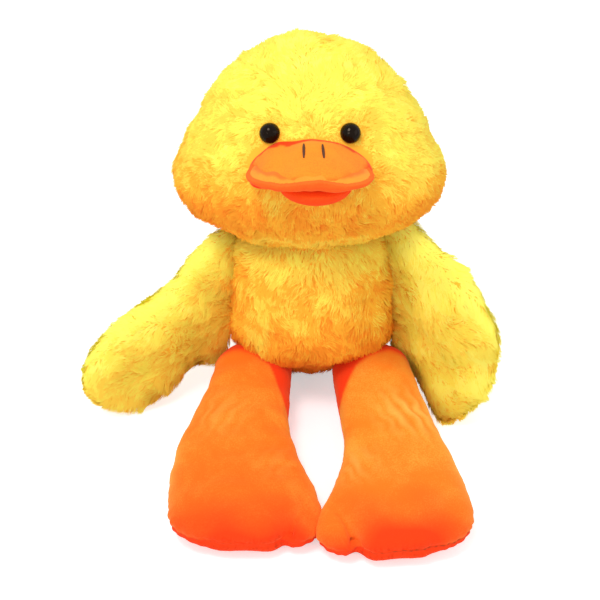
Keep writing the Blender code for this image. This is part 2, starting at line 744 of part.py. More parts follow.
def make_tail(looks):
    """A short stuffed tail, sewn flat to the back cover."""
    form = Form(
        start=0.0,
        length=TAIL_LENGTH + TAIL_ROOT_DEPTH,
        width=TAIL_WIDTH,
        up=TAIL_THICKNESS / 2,
        down=TAIL_THICKNESS / 2,
        start_cap=TAIL_THICKNESS / 2,
        end_cap=TAIL_LENGTH / 2,
        width_shares=TAIL_WIDTH_SHARES,
        around=SMALL_AROUND,
        middle_rings=3,
    )
    body = torso_form()
    t = (TAIL_HEIGHT - body.start) / body.length
    root = (0, body.down * full_at(body, TAIL_HEIGHT) - lean_at(body, t) - TAIL_ROOT_DEPTH, TAIL_HEIGHT)
    frame = empty("tail_frame", root, turned(TAIL_RISE_DEG, "X") @ turned(180, "Z"))
    names = ("tail_top_panel", "tail_under_panel", "tail_stuffing")
    outside = cutter("torso_outside", form_mesh("torso_outside", body, UPRIGHT, -GAP))
    for piece in sewn_pair(names, form, FORWARD, TAIL_WALL, frame, looks, (0, 0, 0), (0, 0, 0)):
        cut(piece, outside)


def build():
    """Makes every piece of the duck."""
    for old in list(bpy.data.objects):
        bpy.data.objects.remove(old)
    colours = {
        "fur": material("yellow_pile", YELLOW, PILE_ROUGHNESS),
        "orange": material("orange_velour", ORANGE, VELOUR_ROUGHNESS),
        "red": material("deep_orange_velour", RED_ORANGE, VELOUR_ROUGHNESS),
        "fibre": material("white_fibre", WHITE, FIBRE_ROUGHNESS),
        "bag": material("pellet_bag_cloth", PELLET_GREY, PILE_ROUGHNESS),
        "eye": material("black_eye", BLACK, EYE_ROUGHNESS),
        "washer": material("white_washer", WHITE, WASHER_ROUGHNESS),
    }
    fur, fibre = colours["fur"], colours["fibre"]
    pivot = empty("neck_pivot", (0, -NECK_FORWARD, TORSO_HEIGHT - NECK_SINK))
    torso_pieces = make_torso((fur, fur, fibre, colours["bag"]), pivot)
    make_neck(pivot, fibre)
    make_head(pivot, (fur, fur, fibre), colours)
    right = wing_form(
        RIGHT_WING_REACH,
        RIGHT_WING_HEIGHT,
        RIGHT_WING_DROP,
        RIGHT_WING_CURL,
        RIGHT_WING_HEIGHT_SHARES,
        RIGHT_WING_DROP_SHARES,
        RIGHT_WING_THICK_SHARES,
    )
    left = wing_form(
        LEFT_WING_REACH,
        LEFT_WING_HEIGHT,
        LEFT_WING_DROP,
        -LEFT_WING_CURL,
        LEFT_WING_HEIGHT_SHARES,
        LEFT_WING_DROP_SHARES,
        LEFT_WING_THICK_SHARES,
    )
    make_wing("right", -1, right, RIGHT_WING_SWING_DEG, (fur, fur, fibre), torso_pieces)
    make_wing("left", 1, left, LEFT_WING_SWING_DEG, (fur, fur, fibre), torso_pieces)
    legs = (colours["orange"], colours["red"], fibre)
    make_leg("right", -1, RIGHT_LEG_SPLAY_DEG, legs, torso_pieces)
    make_leg("left", 1, LEFT_LEG_SPLAY_DEG, legs, torso_pieces)
    make_tail((fur, fur, fibre))


build()
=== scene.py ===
"""The looks of the seated plush duck: soft yellow pile, orange velour, glossy eyes and thread."""

import math

import bpy
import numpy as np
from mathutils import Matrix, Vector, kdtree
from mathutils.bvhtree import BVHTree


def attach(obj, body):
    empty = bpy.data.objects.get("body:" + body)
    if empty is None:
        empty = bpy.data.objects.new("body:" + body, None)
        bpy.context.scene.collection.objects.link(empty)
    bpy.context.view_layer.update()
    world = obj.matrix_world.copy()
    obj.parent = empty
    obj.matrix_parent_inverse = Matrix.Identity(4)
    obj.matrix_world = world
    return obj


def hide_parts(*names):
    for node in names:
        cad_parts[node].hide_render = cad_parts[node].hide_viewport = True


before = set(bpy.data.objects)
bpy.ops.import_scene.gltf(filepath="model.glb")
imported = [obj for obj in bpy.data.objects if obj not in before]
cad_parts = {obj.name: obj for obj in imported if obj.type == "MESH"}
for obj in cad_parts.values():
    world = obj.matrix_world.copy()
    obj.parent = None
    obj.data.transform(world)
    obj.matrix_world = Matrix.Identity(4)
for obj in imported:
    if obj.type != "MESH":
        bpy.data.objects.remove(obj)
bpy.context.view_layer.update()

# Camera: it looks down at the seated duck from the front.
ELEVATION_DEG = 36
DISTANCE = 0.9
LENS_MM = 94.5
SENSOR_MM = 36
AIM = Vector((-0.0074, -0.07, 0.09))

camera = bpy.data.objects.new("camera", bpy.data.cameras.new("camera"))
bpy.context.scene.collection.objects.link(camera)
camera.data.lens = LENS_MM
camera.data.sensor_width = SENSOR_MM
rise = math.radians(ELEVATION_DEG)
camera.location = AIM + DISTANCE * Vector((0, -math.cos(rise), math.sin(rise)))
camera.rotation_euler = (math.pi / 2 - rise, 0, 0)
bpy.context.scene.camera = camera
bpy.context.scene.view_settings.view_transform = "Standard"

# Light: three soft lamps and an even pale surround. Lengths are in metres and power in watts.
LAMP_TARGET = Vector((0, -0.06, 0.1))
LAMPS = {
    "key": dict(place=(-0.3, -0.5, 1.3), size=0.4, power=6.5),
    "fill": dict(place=(-0.6, -1.2, 0.75), size=0.35, power=2.2),
    "side": dict(place=(1.1, -0.5, 0.6), size=0.7, power=1.6),
}
SURROUND = 0.74
WHITE = (1, 1, 1, 1)


def area_light(name, place, size, power):
    """A soft square lamp that faces the duck."""
    lamp = bpy.data.objects.new(name, bpy.data.lights.new(name, "AREA"))
    bpy.context.scene.collection.objects.link(lamp)
    lamp.location = place
    lamp.rotation_euler = (LAMP_TARGET - Vector(place)).to_track_quat("-Z", "Y").to_euler()
    lamp.data.size = size
    lamp.data.energy = power


for name, lamp in LAMPS.items():
    area_light(name, **lamp)


def add_node(tree, kind, **values):
    """A new node, with these values on its sockets of the same names."""
    node = tree.nodes.new("ShaderNode" + kind)
    for name, value in values.items():
        node.inputs[name.replace("_", " ")].default_value = value
    return node


def math_node(tree, operation, *terms):
    """The output of a math node whose terms are numbers or other nodes' outputs."""
    node = tree.nodes.new("ShaderNodeMath")
    node.operation = operation
    for socket, term in zip(node.inputs, terms):
        if isinstance(term, (int, float)):
            socket.default_value = term
        else:
            tree.links.new(term, socket)
    return node.outputs[0]


def light_world():
    """Even light on the duck, with white behind it and in what it reflects."""
    world = bpy.data.worlds.new("world")
    bpy.context.scene.world = world
    world.use_nodes = True
    tree = world.node_tree
    tree.nodes.clear()
    ray = add_node(tree, "LightPath").outputs
    seen = math_node(tree, "MAXIMUM", ray["Is Camera Ray"], ray["Is Glossy Ray"])
    seen = math_node(tree, "MAXIMUM", seen, ray["Is Transmission Ray"])
    soft = add_node(tree, "Background", Strength=SURROUND, Color=WHITE)
    white = add_node(tree, "Background", Color=WHITE)
    mix = add_node(tree, "MixShader")
    out = add_node(tree, "OutputWorld")
    tree.links.new(seen, mix.inputs[0])
    tree.links.new(soft.outputs[0], mix.inputs[1])
    tree.links.new(white.outputs[0], mix.inputs[2])
    tree.links.new(mix.outputs[0], out.inputs[0])


light_world()

# Materials: colours are linear red, green and blue.
# Marks that a velour mixes in: pale is painted sheen, deep is painted shade and shadow, on the toes partly
# the velour's own deeper red, and dark is thread and seam.
DARK = (0.35, 0.03, 0.004)
RED = (1.0, 0.05, 0.005)
PAINTED_SHEEN = (1.0, 0.52, 0.1)
MARKS = {"pale": PAINTED_SHEEN, "deep": RED, "dark": DARK}
SHEEN_ROUGHNESS = 0.5
NAP_ROUGHNESS = 0.85
NAP_SPECULAR = 0.12
# Painted light: this share of the nap's colour follows which way it faces.
SLOPE_SHARE = 0.6
SLOPE_BASE = 0.2
PATCH_SIZE = 30
GRAIN_SIZE = 1300
GRAIN_SPREAD = 1.2
GRAIN_BUMP = 0.3
GRAIN_DEPTH = 0.0004


def plain(name, colour, roughness, sheen=0.0, tint=WHITE[:3], **more):
    """A Principled material whose values are all on its own sockets."""
    made = bpy.data.materials.new(name)
    made.use_nodes = True
    shader = made.node_tree.nodes["Principled BSDF"]
    shader.inputs["Base Color"].default_value = (*colour, 1)
    shader.inputs["Roughness"].default_value = roughness
    shader.inputs["Sheen Weight"].default_value = sheen
    shader.inputs["Sheen Roughness"].default_value = SHEEN_ROUGHNESS
    shader.inputs["Sheen Tint"].default_value = (*tint, 1)
    for key, value in more.items():
        shader.inputs[key.replace("_", " ")].default_value = value
    return made


def velour(name, upper, lower, sheen, tint, patch=PATCH_SIZE, spread=1.0):
    """Short nap, stroked in patches between two colours, the first mostly where it faces up: this change
    with facing is painted light, painted shade where the nap turns down on the bill and soles, and painted
    sheen on the sides of the legs.
    """
    made = plain(name, upper, NAP_ROUGHNESS, sheen, tint, Specular_IOR_Level=NAP_SPECULAR)
    tree = made.node_tree
    shader = tree.nodes["Principled BSDF"]
    place = add_node(tree, "TexCoord").outputs["Object"]
    patches = add_node(tree, "TexNoise", Scale=patch, Detail=4, Roughness=0.6, Distortion=0.6)
    grain = add_node(tree, "TexNoise", Scale=GRAIN_SIZE, Detail=2)
    parted = add_node(tree, "SeparateXYZ")
    facing = add_node(tree, "NewGeometry").outputs["True Normal"]
    tree.links.new(place, patches.inputs["Vector"])
    tree.links.new(place, grain.inputs["Vector"])
    tree.links.new(facing, parted.inputs[0])
    base = SLOPE_BASE - spread / 2 - GRAIN_SPREAD / 2
    # Painted light: the colour follows the slope of the surface.
    painted_slope = math_node(tree, "MULTIPLY_ADD", parted.outputs["Z"], SLOPE_SHARE, base)
    stroked = math_node(tree, "MULTIPLY_ADD", patches.outputs["Fac"], spread, painted_slope)
    grained = math_node(tree, "MULTIPLY_ADD", grain.outputs["Fac"], GRAIN_SPREAD, stroked)
    ramp = add_node(tree, "ValToRGB")
    ramp.color_ramp.interpolation = "EASE"
    for element, shade in zip(ramp.color_ramp.elements, (lower, upper)):
        element.color = (*shade, 1)
    tree.links.new(grained, ramp.inputs["Fac"])
    colour = ramp.outputs["Color"]
    for mark, into in MARKS.items():
        weight = add_node(tree, "Attribute")
        weight.attribute_name = mark
        mixed = add_node(tree, "Mix")
        mixed.data_type = "RGBA"
        before, after = [socket for socket in mixed.inputs if socket.type == "RGBA"]
        after.default_value = (*into, 1)
        tree.links.new(weight.outputs["Fac"], mixed.inputs[0])
        tree.links.new(colour, before)
        colour = [socket for socket in mixed.outputs if socket.type == "RGBA"][0]
    tree.links.new(colour, shader.inputs["Base Color"])
    bump = add_node(tree, "Bump", Strength=GRAIN_BUMP, Distance=GRAIN_DEPTH)
    tree.links.new(grain.outputs["Fac"], bump.inputs["Height"])
    tree.links.new(bump.outputs["Normal"], shader.inputs["Normal"])
    return made


PILE_COLOURS = {
    "pile_amber": (0.95, 0.27, 0.022),
    "pile_orange": (0.98, 0.38, 0.03),
    "pile_gold": (1.0, 0.53, 0.045),
    "pile_yellow": (1.0, 0.72, 0.085),
    "pile_lemon": (1.0, 0.86, 0.115),
    "pile_pale": (1.0, 0.93, 0.16),
}
PILE_ROUGHNESS = 0.9
PILE_SPECULAR = 0.05
FUR = [
    plain(name, colour, PILE_ROUGHNESS, Specular_IOR_Level=PILE_SPECULAR)
    for name, colour in PILE_COLOURS.items()
]
BACKING = FUR[2]

LEG_NAP = dict(sheen=0.25, tint=(1.0, 0.6, 0.25), patch=34, spread=1.5)
RED_NAP = dict(sheen=0.2, tint=(1.0, 0.45, 0.2))
BILL_PATCH = 60
# The left leg's velour is a paler copy of the right's, as painted light on the better lit leg; on both, the
# sides are paler as painted sheen.
orange = {
    "right": velour("orange_nap_right_shaded", (1.0, 0.19, 0.011), (1.0, 0.37, 0.042), **LEG_NAP),
    "left": velour("orange_nap_left_lit", (1.0, 0.25, 0.015), (1.0, 0.48, 0.06), **LEG_NAP),
}
sole = velour("deep_orange_nap", (1.0, 0.075, 0.008), (0.95, 0.04, 0.004), **RED_NAP)
bill_top = velour("bill_nap", (1.0, 0.3, 0.022), (1.0, 0.19, 0.018), 0.25, (1.0, 0.66, 0.3), BILL_PATCH)
# The lip's velour is paler than the dome's: a painted highlight along its roll.
bill_lip_highlight = velour(
    "bill_lip_highlight_nap", (1.0, 0.34, 0.032), (1.0, 0.26, 0.025), 0.3, (1.0, 0.7, 0.35), BILL_PATCH
)
# The lip's underside is the same velour painted deeper, as painted shade under its roll.
bill_under_shade = velour("bill_under_shade_nap", (1.0, 0.16, 0.018), (1.0, 0.12, 0.012), **RED_NAP, patch=BILL_PATCH)
lower_red = velour(
    "lower_bill_nap", (1.0, 0.11, 0.01), (1.0, 0.07, 0.007), 0.2, (1.0, 0.35, 0.15), BILL_PATCH
)
dark_thread = plain("brown_thread", (0.09, 0.025, 0.01), roughness=0.7)
GLOSS = dict(roughness=0.08, Specular_IOR_Level=0.13, Specular_Tint=(1.0, 0.8, 0.62, 1.0))
black = plain("eye_black", (0.006, 0.003, 0.002), **GLOSS)

# The floor glows to the camera alone, so that it meets the white behind it.
FLOOR_SIZE = 8
FLOOR_LIFT = 0.5
floor_look = plain("pale_floor", (0.9, 0.9, 0.9), 0.9, Specular_IOR_Level=0.0, Emission_Color=WHITE)
floor_tree = floor_look.node_tree
floor_seen = add_node(floor_tree, "LightPath").outputs["Is Camera Ray"]
lifted = math_node(floor_tree, "MULTIPLY", floor_seen, FLOOR_LIFT)
floor_tree.links.new(lifted, floor_tree.nodes["Principled BSDF"].inputs["Emission Strength"])

# Shapes
WAVE_SHARES = (0.6, 1.4)
BUMP_SIZE = 0.035


def curve(shares, t):
    """Values at t, from 0 to 1, on a smooth curve through evenly spaced shares."""
    shares = np.asarray(shares, float)
    place = np.clip(t, 0, 1) * (len(shares) - 1)
    first = np.minimum(place.astype(int), len(shares) - 2)
    f = place - first
    a, b, c, d = (shares[np.clip(first + k, 0, len(shares) - 1)] for k in (-1, 0, 1, 2))
    return b + f * (c - a + f * (2 * a - 5 * b + 4 * c - d + f * (3 * (b - c) + d - a))) / 2


def rise_over(value, start, full):
    """0 at start and before it, 1 at full and past it, and straight between them."""
    return np.clip((value - start) / (full - start), 0, 1)


def bump_of(distance, width):
    """1 at no distance, falling smoothly away over about this width."""
    return np.exp(-((distance / width) ** 2))


def wave(distance, length, shift=0.0):
    """A sine wave of this length, with its shift in radians."""
    return np.sin(2 * math.pi * distance / length + shift)


def wobble(p, size, seed, waves=7):
    """Smooth noise of about -1 to 1 that varies over about this size."""
    draw = np.random.default_rng(seed)
    total = np.zeros(len(p))
    for _ in range(waves):
        way = draw.normal(size=3)
        way *= 2 * math.pi / size / np.linalg.norm(way) * draw.uniform(*WAVE_SHARES)
        total += np.sin(p @ way + draw.uniform(0, 2 * math.pi))
    return total / math.sqrt(waves)


# A form is wide along its own X, thick along its Y and long along its Z. These turn it into the frame.
UPRIGHT = Matrix(((1, 0, 0, 0), (0, -1, 0, 0), (0, 0, 1, 0), (0, 0, 0, 1)))
FORWARD = Matrix(((1, 0, 0, 0), (0, 0, -1, 0), (0, 1, 0, 0), (0, 0, 0, 1)))
ON_EDGE = Matrix(((0, 1, 0, 0), (0, 0, -1, 0), (1, 0, 0, 0), (0, 0, 0, 1)))


def turned(degrees, axis):
    """A turn about X, Y or Z."""
    return Matrix.Rotation(math.radians(degrees), 4, axis)


def moved(points, matrix):
    """Points carried by a matrix."""
    m = np.array(matrix)
    return points @ m[:3, :3].T + m[:3, 3]


def unit(v):
    """Rows of v made one long."""
    return v / np.maximum(np.linalg.norm(v, axis=1), 1e-9)[:, None]


def dots(a, b):
    """The dot product of each row of a with the same row of b."""
    return np.einsum("ij,ij->i", a, b)


def stations(start, length, caps, fullness, rows):
    """Places along a form and how full it is there, closer together in its end caps."""
    low, high = caps
    middle = np.array([start + low])
    if length - low - high > low / 50:
        middle = np.linspace(start + low, start + length - high, rows // 3 + 2)
    angle = np.linspace(0, math.pi / 2, (rows - len(middle)) // 2 + 2)[1:-1]
    out = np.cos(angle[::-1])
    first = start + low * (1 - np.cos(angle))
    last = start + length - high * (1 - out)
    full_last = (1 - out**fullness) ** (1 / fullness)
    full = np.concatenate([np.sin(angle), np.ones(len(middle)), full_last])
    return np.concatenate([first, middle, last]), full


def form_points(form, inset=0.0, rows=60, around=72):
    """Rings of points round a stuffed form, as (rows, around, 3), and its two poles."""
    start, length = form["start"] + inset, form["length"] - 2 * inset
    caps = [max(cap - inset, inset) for cap in form["caps"]]
    z, full = stations(start, length, caps, form.get("fullness", 2), rows)
    t = (z - form["start"]) / form["length"]
    wide = curve(form.get("width_shares", (1, 1)), t)
    thick = curve(form.get("thick_shares", (1, 1)), t)
    middle = -form.get("drop", 0) * curve(form.get("drop_shares", (0, 0)), t)
    lift = form.get("lean", 0) * curve(form.get("lean_shares", (0, 0)), t)
    curl = form.get("curl", 0) * curve(form.get("curl_shares", (0, 0)), t)
    angle = 2 * math.pi * (np.arange(around) + 0.5) / around
    c, s = np.cos(angle), np.sin(angle)
    power = 2 / form.get("squareness", 2)
    reach = np.where(s > 0, form["up"], form["down"]) - inset
    across = np.sign(c) * np.abs(c) ** power
    up = np.sign(s) * np.abs(s) ** power * reach
    half = (form["width"] / 2 - inset) * (wide * full)[:, None] * across
    low = np.minimum(half / (form["width"] / 2 * wide[:, None]), 0)
    ring = np.zeros((len(z), around, 3))
    ring[:, :, 0] = middle[:, None] + half
    ring[:, :, 1] = lift[:, None] + (thick * full)[:, None] * up + curl[:, None] * low**2
    ring[:, :, 2] = z[:, None]
    ends = [ring[0].mean(0), ring[-1].mean(0)]
    ends[0][2], ends[1][2] = start, start + length
    return ring, np.array(ends)


def closed_faces(rows, around):
    """Quads between rings and the triangles at both poles."""
    grid = np.arange(rows * around).reshape(rows, around)
    a, b = grid[:-1], grid[1:]
    quads = np.stack([a, np.roll(a, -1, 1), np.roll(b, -1, 1), b], -1).reshape(-1, 4)
    low, high = rows * around, rows * around + 1
    first, last = grid[0], grid[-1]
    bottom = np.stack([np.full(around, low), np.roll(first, -1), first], -1)
    top = np.stack([last, np.roll(last, -1), np.full(around, high)], -1)
    return quads, np.concatenate([bottom, top])


def mesh_object(name, points, faces, looks, index=None, normals=None, marks=None):
    """An object of these points and faces, with marks that a material can mix by."""
    mesh = bpy.data.meshes.new(name)
    loops = np.concatenate([f.ravel() for f in faces]).astype(np.int32)
    counts = np.concatenate([np.full(len(f), f.shape[1]) for f in faces])
    starts = np.concatenate([[0], np.cumsum(counts)[:-1]]).astype(np.int32)
    mesh.vertices.add(len(points))
    mesh.vertices.foreach_set("co", np.asarray(points, np.float32).ravel())
    mesh.loops.add(len(loops))
    mesh.loops.foreach_set("vertex_index", loops)
    mesh.polygons.add(len(counts))
    mesh.polygons.foreach_set("loop_start", starts)
    for look in looks:
        mesh.materials.append(look)
    if index is not None:
        mesh.polygons.foreach_set("material_index", np.asarray(index, np.int32))
    mesh.update(calc_edges=True)
    mesh.shade_smooth()
    if normals is not None:
        mesh.normals_split_custom_set_from_vertices(np.asarray(normals, np.float32))
    for key, values in (marks or {}).items():
        held = mesh.attributes.new(key, "FLOAT", "POINT")
        held.data.foreach_set("value", np.asarray(values, np.float32))
    made = bpy.data.objects.new(name, mesh)
    bpy.context.scene.collection.objects.link(made)
    return made


def corners_of(points, tris):
    """The three corners of every triangle."""
    return [points[tris[:, k]] for k in range(3)]


def point_normals(points, tris):
    """Unit normals at points, averaged over their triangles."""
    a, b, c = corners_of(points, tris)
    face = np.cross(b - a, c - a)
    total = np.zeros_like(points)
    for k in range(3):
        np.add.at(total, tris[:, k], face)
    return total / np.maximum(np.linalg.norm(total, axis=1), 1e-12)[:, None]


def as_tris(quads, *tris):
    """All faces as triangles."""
    return np.concatenate([quads[:, [0, 1, 2]], quads[:, [0, 2, 3]], *tris])


def nearest_finder(points):
    """A tree that finds the nearest of these points."""
    tree = kdtree.KDTree(len(points))
    for k, p in enumerate(points):
        tree.insert(p, k)
    tree.balance()
    return tree


class Skin:
    """A closed smooth surface in the frame, which pile can grow from."""

    def __init__(self, form, matrix, inset=0.0, floor=None, bumps=0.0, seed=0, rows=60, around=72):
        ring, ends = form_points(form, inset, rows, around)
        self.points = moved(np.concatenate([ring.reshape(-1, 3), ends]), matrix)
        self.quads, self.caps = closed_faces(len(ring), around)
        a, b, c = corners_of(self.points, as_tris(self.quads, self.caps))
        if dots(a, np.cross(b, c)).sum() < 0:
            self.quads, self.caps = self.quads[:, ::-1], self.caps[:, ::-1]
        self.tris = as_tris(self.quads, self.caps)
        if bumps:
            normal = point_normals(self.points, self.tris)
            self.points += normal * (bumps * wobble(self.points, BUMP_SIZE, seed))[:, None]
        if floor is not None:
            self.points[:, 2] = np.maximum(self.points[:, 2], floor)
        self.normals = point_normals(self.points, self.tris)
        self.tree = BVHTree.FromPolygons(self.points.tolist(), self.tris.tolist())

    def area(self):
        """Its whole area."""
        a, b, c = corners_of(self.points, self.tris)
        return np.linalg.norm(np.cross(b - a, c - a), axis=1).sum() / 2

    def distance(self, points):
        """How far each point is from it."""
        return np.array([self.tree.find_nearest(Vector(p))[3] for p in points])

    def holds(self, point, deeper=0.0):
        """Whether a point lies inside, by more than deeper."""
        near, normal, _, _ = self.tree.find_nearest(point)
        return (near - point).dot(normal) > deeper

    def object(self, name, looks):
        """A scene object of it."""
        return mesh_object(name, self.points, [self.quads, self.caps], looks)


def scatter(skin, count, seed):
    """Random places on a skin with even density, and their normals."""
    draw = np.random.default_rng(seed)
    a, b, c = corners_of(skin.points, skin.tris)
    area = np.linalg.norm(np.cross(b - a, c - a), axis=1)
    pick = draw.choice(len(area), count, p=area / area.sum())
    u, v = draw.random(count), draw.random(count)
    over = u + v > 1
    u[over], v[over] = 1 - u[over], 1 - v[over]
    w = (1 - u - v)[:, None]
    u, v = u[:, None], v[:, None]
    place = w * a[pick] + u * b[pick] + v * c[pick]
    corner = skin.normals[skin.tris[pick]]
    normal = w * corner[:, 0] + u * corner[:, 1] + v * corner[:, 2]
    return place, normal / np.linalg.norm(normal, axis=1)[:, None]


# Pile: strands per square metre, their sizes in metres, and shades as places in the list of colours.
PILE_DENSITY = 1.6e6
PILE_WIDTH = 0.0007
CLUMP_SPACING = 0.0036
FEWEST_TUFTS = 8
MOST_STRANDS = 39000
PILE_FLOOR = 0.0006
STEP_SHARES = np.array([0.0, 0.34, 0.68, 1.0])
TAPER_SHARES = np.array([1.0, 0.92, 0.62, 0.0])
SWIRL = 0.7
SWIRL_SIZE = 0.03
SMALL_SWIRL_SIZE = 0.011
SWIRL_STRAY = 0.25
LENGTH_PATCH_SIZE = 0.018
LENGTH_PATCH_SHARE = 0.22
LENGTH_STRAY_SHARE = 0.12
SHORTEST = 0.0012
LONGEST_SHARE = 1.6
LEAN_DEG = 62
LEAN_VARIES_DEG = 7
LEAN_SIZE = 0.012
LEAN_LIMITS_DEG = (15, 80)
BEND_DEG = 24
MOST_LEAN_DEG = 84
SAG_SHARE = 0.15
GATHER_SHARE = 0.6
GATHER_POWER = 1.4
GATHER_SPREAD_SHARES = (0.5, 1.15)
TUFT_SPREAD_SHARE = 0.25
TWIST = 0.18
WIDTH_SHARES = (0.7, 1.25)
# Tones by facing are painted light and shade: pile is paler where it faces up and deeper where it faces
# down, and at the back sideways pile is paler than at the front.
FACING = (-1, -0.5, -0.2, 0, 0.2, 0.5, 1)
FRONT_PAINTED_LIGHT_TONES = (1.4, 1.45, 1.5, 1.6, 2.4, 3.45, 4.3)
REAR_PAINTED_LIGHT_TONE = 3.0
REAR_PAINTED_LIGHT_UP = 1.2
REAR_FROM = (-0.1, 0.3)
TONE_PATCH = 0.2
TONE_PATCH_SIZE = 0.02
TUFT_TONE = 0.35
STRAND_TONE = 0.12
TIP_TONE = 0.4
DEEP_ROOT_SHARE = 0.25
FACE_NORMAL_SHARE = 0.95
BLADE_NORMAL_SHARE = 0.15


def grow(root, normal, length, groom, short, seed, draw):
    """Paths of strands that leave their roots and bend over with the groom, and their lengths."""
    count = len(root)
    way = groom(root)
    way = unit(way - normal * dots(way, normal)[:, None])
    side = np.cross(normal, way)
    turn = SWIRL * wobble(root, SWIRL_SIZE, seed + 5)
    turn = turn + 0.5 * SWIRL * wobble(root, SMALL_SWIRL_SIZE, seed + 6) + draw.normal(0, SWIRL_STRAY, count)
    way = way * np.cos(turn)[:, None] + side * np.sin(turn)[:, None]
    patches = LENGTH_PATCH_SHARE * wobble(root, LENGTH_PATCH_SIZE, seed + 7)
    long = length * (1 + patches + draw.normal(0, LENGTH_STRAY_SHARE, count))
    if short is not None:
        long = long * short(root)
    long = np.clip(long, SHORTEST, LONGEST_SHARE * length)
    lean = LEAN_DEG + LEAN_VARIES_DEG * wobble(root, LEAN_SIZE, seed + 8)
    lean = lean + draw.normal(0, LEAN_VARIES_DEG, count)
    stand = np.radians(np.clip(lean, *LEAN_LIMITS_DEG))
    lie = np.minimum(stand + math.radians(BEND_DEG), math.radians(MOST_LEAN_DEG))
    first = normal * np.cos(stand)[:, None] + way * np.sin(stand)[:, None]
    last = normal * np.cos(lie)[:, None] + way * np.sin(lie)[:, None]
    last -= SAG_SHARE * (np.array((0, 0, 1)) - normal * normal[:, 2:])
    at = [root + long[:, None] * (first * (s - s * s / 2) + last * s * s / 2) for s in STEP_SHARES]
    return np.stack(at, 1), long


def gathered(strand, long, root, lead, tuft_root, short, draw):
    """Strands drawn towards the leading strand of their tuft, and no longer than they may be."""
    apart = (root - tuft_root)[:, None, :]
    uneven = draw.uniform(*GATHER_SPREAD_SHARES, (len(root), 1, 1))
    pull = (GATHER_SHARE * STEP_SHARES**GATHER_POWER)[None, :, None] * uneven
    strand = strand + pull * (lead + TUFT_SPREAD_SHARE * apart - strand)
    if short is not None:
        away = strand - root[:, None, :]
        far = np.maximum(np.linalg.norm(away, axis=2, keepdims=True), 1e-9)
        strand = root[:, None, :] + away * np.minimum(1, long[:, None, None] / far)
    strand[:, :, 2] = np.maximum(strand[:, :, 2], PILE_FLOOR)
    return strand


def blades(strand, normal, coarser, draw):
    """Points and faces of one tapered blade along each strand, and the normals it is lit by."""
    count = len(strand)
    along = unit(strand[:, -1] - strand[:, 0])
    flat_across = unit(np.cross(along, normal))
    upright = np.cross(flat_across, along)
    twist = draw.normal(0, TWIST, count)[:, None]
    across = flat_across * np.cos(twist) + upright * np.sin(twist)
    width = PILE_WIDTH * coarser * draw.uniform(*WIDTH_SHARES, count)
    half = (width[:, None] * TAPER_SHARES / 2)[:, :, None] * across[:, None, :]
    left, right = (strand - half)[:, :3], (strand + half)[:, :3]
    points = np.concatenate([left, right, strand[:, 3:]], 1)
    base = points.shape[1] * np.arange(count)[:, None]
    faces = [base + np.array(corners) for corners in ((0, 3, 4, 1), (1, 4, 5, 2), (2, 5, 6))]
    a, b, d = points[:, 0], points[:, 3], points[:, 1]
    inward = dots(np.cross(b - a, d - a), normal) < 0
    for face in faces:
        face[inward] = face[inward, ::-1]
    blade = unit(np.cross(across, along))
    blade *= np.sign(dots(blade, normal))[:, None]
    soft_normal = unit(FACE_NORMAL_SHARE * normal + BLADE_NORMAL_SHARE * blade)
    return points.reshape(-1, 3), faces, np.repeat(soft_normal, points.shape[1], axis=0)


def tones(root, normal, tuft_root, nearest, shade, seed, draw):
    """Which colour each strand has at its root, middle and tip: paler where it faces up and deeper where it
    faces down, as painted light and shade.
    """
    darkest, palest = 0, len(FUR) - 1
    front = np.interp(normal[:, 2], FACING, FRONT_PAINTED_LIGHT_TONES)
    rear = REAR_PAINTED_LIGHT_TONE + REAR_PAINTED_LIGHT_UP * normal[:, 2]
    tone = front + rise_over(normal[:, 1], *REAR_FROM) * (rear - front)
    tone = tone + TONE_PATCH * wobble(tuft_root[nearest], TONE_PATCH_SIZE, seed + 9)
    # Painted shade of each place deepens the tone.
    if shade is not None:
        tone -= shade(root)
    tone += draw.normal(0, TUFT_TONE, len(tuft_root))[nearest] + draw.normal(0, STRAND_TONE, len(root))
    tip = np.round(np.clip(tone + TIP_TONE, darkest, palest)).astype(int)
    middle = np.round(np.clip(tone, darkest, palest)).astype(int)
    low = np.maximum(middle - (draw.random(len(root)) < DEEP_ROOT_SHARE), darkest)
    return np.concatenate([low, middle, tip])


def pile(name, skin, length, groom, keep, seed, shade, short=None, part=None):
    """Soft pile as thin blades that lean with the groom and gather in tufts, darker at the root."""
    thin = 1
    root, normal = scatter(skin, int(skin.area() * PILE_DENSITY / thin), seed)
    kept = np.array([keep(Vector(p)) for p in root])
    if part is not None:
        kept &= part(root)
    root, normal = root[kept][: MOST_STRANDS // thin], normal[kept][: MOST_STRANDS // thin]
    draw = np.random.default_rng(seed + 1)
    tufts = max(int(skin.area() / CLUMP_SPACING**2), FEWEST_TUFTS)
    tuft_root, tuft_normal = scatter(skin, tufts, seed + 2)
    finder = nearest_finder(tuft_root)
    nearest = np.array([finder.find(p)[1] for p in root])
    strand, long = grow(root, normal, length, groom, short, seed, draw)
    lead, _ = grow(tuft_root, tuft_normal, length, groom, short, seed, draw)
    strand = gathered(strand, long, root, lead[nearest], tuft_root[nearest], short, draw)
    points, faces, lit_normals = blades(strand, normal, math.sqrt(thin), draw)
    index = tones(root, normal, tuft_root, nearest, shade, seed, draw)
    return mesh_object(name, points, faces, FUR, index, lit_normals)

